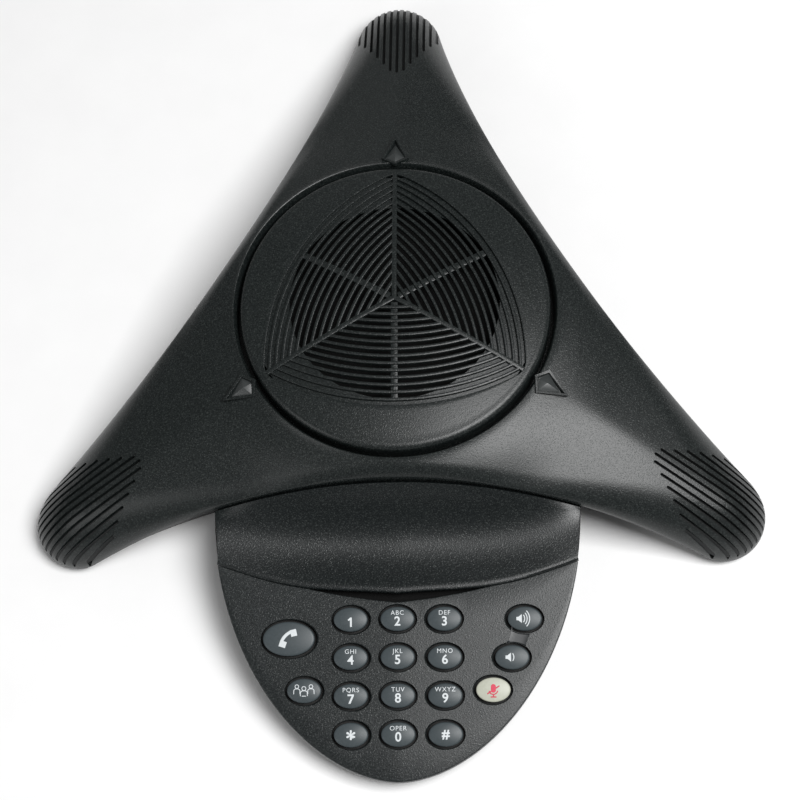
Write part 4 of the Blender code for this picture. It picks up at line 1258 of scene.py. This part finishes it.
def fillShape(points):
    deselectAll()
    bpy.ops.mesh.primitive_circle_add(vertices=len(points), radius=1, fill_type="NGON")
    shape = bpy.context.object
    for vertex, (x, y) in zip(shape.data.vertices, points):
        vertex.co = (x, y, -ink["thick"] / 2)
    bpy.ops.object.mode_set(mode="EDIT")
    bpy.ops.mesh.select_all(action="SELECT")
    bpy.ops.mesh.extrude_region_move(TRANSFORM_OT_translate={"value": (0, 0, ink["thick"])})
    bpy.ops.mesh.select_all(action="SELECT")
    bpy.ops.mesh.normals_make_consistent(inside=False)
    bpy.ops.object.mode_set(mode="OBJECT")
    refine(shape, 4)
    return shape


def scaled(points):
    return [(x * mm, y * mm) for x, y in points]


def handsetSign():
    # a bent grip with an ear and a mouth piece, tilted
    bend = Vector((2.6, -2.6)) * mm
    sign = [drawLine(arcPoints(*bend, 4.9 * mm, 108, 162), ink["gripLine"])]
    for turn in (106, 164):
        out = Vector((math.cos(math.radians(turn)), math.sin(math.radians(turn))))
        side = Vector((-out.y, out.x))
        middle = bend + out * 4.35 * mm
        corners = [middle + out * along * mm + side * across * mm for along, across in
                   ((-0.95, -0.75), (0.9, -0.85), (1.0, 0.85), (-0.85, 0.9))]
        sign.append(fillShape(corners))
    return sign


def peopleSign():
    # one person in front of two smaller ones
    sign = []
    for x, y, size in ((0.0, -0.35, 1.0), (-2.5, 0.35, 0.9), (2.5, 0.35, 0.9)):
        head = arcPoints(x * mm, (y + 1.15) * mm, 0.72 * size * mm, 0, 330, 11)
        right = [(0.6 * size, 0.35), (1.2 * size, -0.1), (1.25 * size, -1.5)]
        body = [(-across, up) for across, up in reversed(right)] + right
        sign.append(drawLine(head, ink["fineLine"], closed=True))
        sign.append(drawLine(scaled([(x + across, y + up) for across, up in body]), ink["fineLine"]))
    sign.append(drawLine(scaled([(-0.75, -1.85), (0.75, -1.85)]), ink["fineLine"]))
    return sign


def loudnessSign(waves):
    # a horn with one or more sound waves
    x = -1.6 if waves > 1 else -1.0
    horn = scaled([(x - 1.3, -0.55), (x - 0.6, -0.6), (x + 0.55, -1.5), (x + 0.55, 1.5), (x - 0.6, 0.6),
                   (x - 1.3, 0.55)])
    sign = [fillShape(horn)]
    for k in range(waves):
        half = 36 + 4 * k
        wave = arcPoints((x - 0.6) * mm, 0, (2.1 + 0.85 * k) * mm, -half, half)
        sign.append(drawLine(wave, ink["line"]))
    return sign


def mutedSign():
    # a microphone in its cradle on a stand, crossed out
    head = arcPoints(0, 0.95 * mm, 0.78 * mm, 0, 180, 10) + arcPoints(0, -0.15 * mm, 0.78 * mm, 180, 360, 10)
    sign = [fillShape(head), drawLine(arcPoints(0, -0.1 * mm, 1.35 * mm, 190, 350), ink["cradleLine"])]
    sign.append(drawLine(scaled([(0, -1.4), (0, -2.2)]), ink["boldLine"]))
    sign.append(drawLine(scaled([(-0.9, -2.25), (0.9, -2.25)]), ink["line"]))
    sign.append(drawLine(scaled([(-1.9, -1.3), (1.9, 1.2)]), ink["boldLine"]))
    return sign


# the two digits that are drawn, in millimetres; the others are written
drawnDigits = {
    "1": [(-1.15, 1.0), (-0.1, 1.95), (0.55, 1.95), (0.55, -1.85), (-0.2, -1.85), (-0.2, 0.95), (-0.75, 0.5)],
    "7": [(-1.3, 1.9), (1.3, 1.9), (1.3, 1.3), (-0.1, -1.85), (-0.95, -1.85), (0.4, 1.2), (-1.3, 1.2)],
}


def dialSign(digit, letters):
    if digit == "*":
        return [writeText(digit, ink["star"], 0, -ink["starDown"], ink["markHeavy"])]
    if digit == "#":
        return [writeText(digit, ink["hash"], 0, 0, ink["markHeavy"])]
    if digit in drawnDigits:
        sign = [fillShape([(x, y - ink["digitDown"]) for x, y in scaled(drawnDigits[digit])])]
    else:
        sign = [writeText(digit, ink["digit"], 0, -ink["digitDown"], ink["digitHeavy"])]
    if letters:
        sign.append(writeText(letters, ink["letters"], 0, ink["lettersUp"]))
    return sign


dialLetters = {
    "1": "", "2": "ABC", "3": "DEF", "4": "GHI", "5": "JKL", "6": "MNO", "7": "PQRS", "8": "TUV", "9": "WXYZ",
    "0": "OPER", "star": "", "hash": "",
}
dialMarks = {"star": "*", "hash": "#"}


def signFor(name):
    word = name.replace("key_", "")
    if word in dialLetters:
        return dialSign(dialMarks.get(word, word), dialLetters[word])
    signs = {"phone": handsetSign, "conference": peopleSign, "mute": mutedSign}
    if word in signs:
        return signs[word]()
    return loudnessSign(3 if word == "volume_up" else 1)


signSizes = {
    "phone": 1.5, "conference": 1.15, "mute": 1.3, "volume_up": 1.2, "volume_down": 1.2, "star": 1.3,
    "hash": 1.3,
}


def printSign(name):
    # the sign is pressed onto the key's dome, then laid on the slope
    place, halfWidth, halfDepth = keyPlace(name)
    sign = joinAll(name.replace("key_", "print_"), signFor(name))
    size = signSizes.get(name.replace("key_", ""), 1.0)
    sign.scale = (size, size, 1.0)
    settle(sign)
    for vertex in sign.data.vertices:
        vertex.co.z += capHeight(vertex.co.x, vertex.co.y, halfWidth, halfDepth) + ink["lift"]
    standOnSlope(sign, place)
    register(sign, name + "_cap", surfaces["redInk" if name == "key_mute" else "whiteInk"])


for name in keyNames:
    makeKey(name)
    printSign(name)
print("keys made")


# floor, light and camera

stage = {
    "floorSize": 6.0, "floorGap": 0.05 * mm, "worldStrength": 0.17,
    "floorLook": {
        "dark": (0.93, 0.93, 0.93), "light": (0.95, 0.95, 0.95), "roughness": 0.6, "grainScale": 40,
        "grainDepth": 0.01 * mm, "gloss": 0.2},
    # each light's place and aim in metres, its width and height, and its power in watts
    "lights": {
        "key_softbox": ((0.60, -0.25, 1.45), (0, 0, 0.03), (0.75, 0.8), 26.0),
        "fill_softbox": ((-1.1, -0.95, 0.95), (0, 0, 0.03), (0.8, 0.8), 4.0),
        "back_softbox": ((-0.4, 1.6, 0.9), (0, 0.05, 0.03), (1.2, 0.5), 0.6)},
}
deselectAll()
floorHeight = cadBounds[0][2] - stage["floorGap"]
bpy.ops.mesh.primitive_plane_add(size=stage["floorSize"], location=(0, 0, floorHeight))
floor = bpy.context.object
floor.name = "floor"
floor.data.materials.append(plainSurface("pale_floor", stage["floorLook"]))

world = bpy.data.worlds.new("studio")
scene.world = world
world.use_nodes = True
background = world.node_tree.nodes["Background"]
background.inputs["Color"].default_value = shade(1, 1, 1)
background.inputs["Strength"].default_value = stage["worldStrength"]


def addSoftbox(name, place, target, size, power):
    lamp = bpy.data.lights.new(name, "AREA")
    lamp.shape = "RECTANGLE"
    lamp.size, lamp.size_y = size
    lamp.energy = power
    holder = bpy.data.objects.new(name, lamp)
    scene.collection.objects.link(holder)
    holder.location = place
    holder.rotation_euler = (Vector(place) - Vector(target)).to_track_quat("Z", "Y").to_euler()


for name, settings in stage["lights"].items():
    addSoftbox(name, *settings)

view = {
    "target": Vector((1.18, -25.07, 30.0)) * mm, "distance": 822.6 * mm, "elevation": math.radians(67.62),
    "azimuth": math.radians(5.35), "roll": math.radians(-5.77), "lens": 87.05, "sensor": 36, "near": 0.01,
}
flat = math.cos(view["elevation"])
back = Vector((
    math.sin(view["azimuth"]) * flat, -math.cos(view["azimuth"]) * flat, math.sin(view["elevation"])))
level = Vector((0, 0, 1)).cross(back).normalized()
upright = back.cross(level)
right = level * math.cos(view["roll"]) + upright * math.sin(view["roll"])
above = upright * math.cos(view["roll"]) - level * math.sin(view["roll"])
cameraData = bpy.data.cameras.new("camera")
cameraData.lens = view["lens"]
cameraData.sensor_width = view["sensor"]
cameraData.clip_start = view["near"]
camera = bpy.data.objects.new("camera", cameraData)
scene.collection.objects.link(camera)
camera.matrix_world = Matrix((right, above, back)).transposed().to_4x4()
camera.location = view["target"] + back * view["distance"]
scene.camera = camera
scene.view_settings.view_transform = "Standard"
print("stage made")
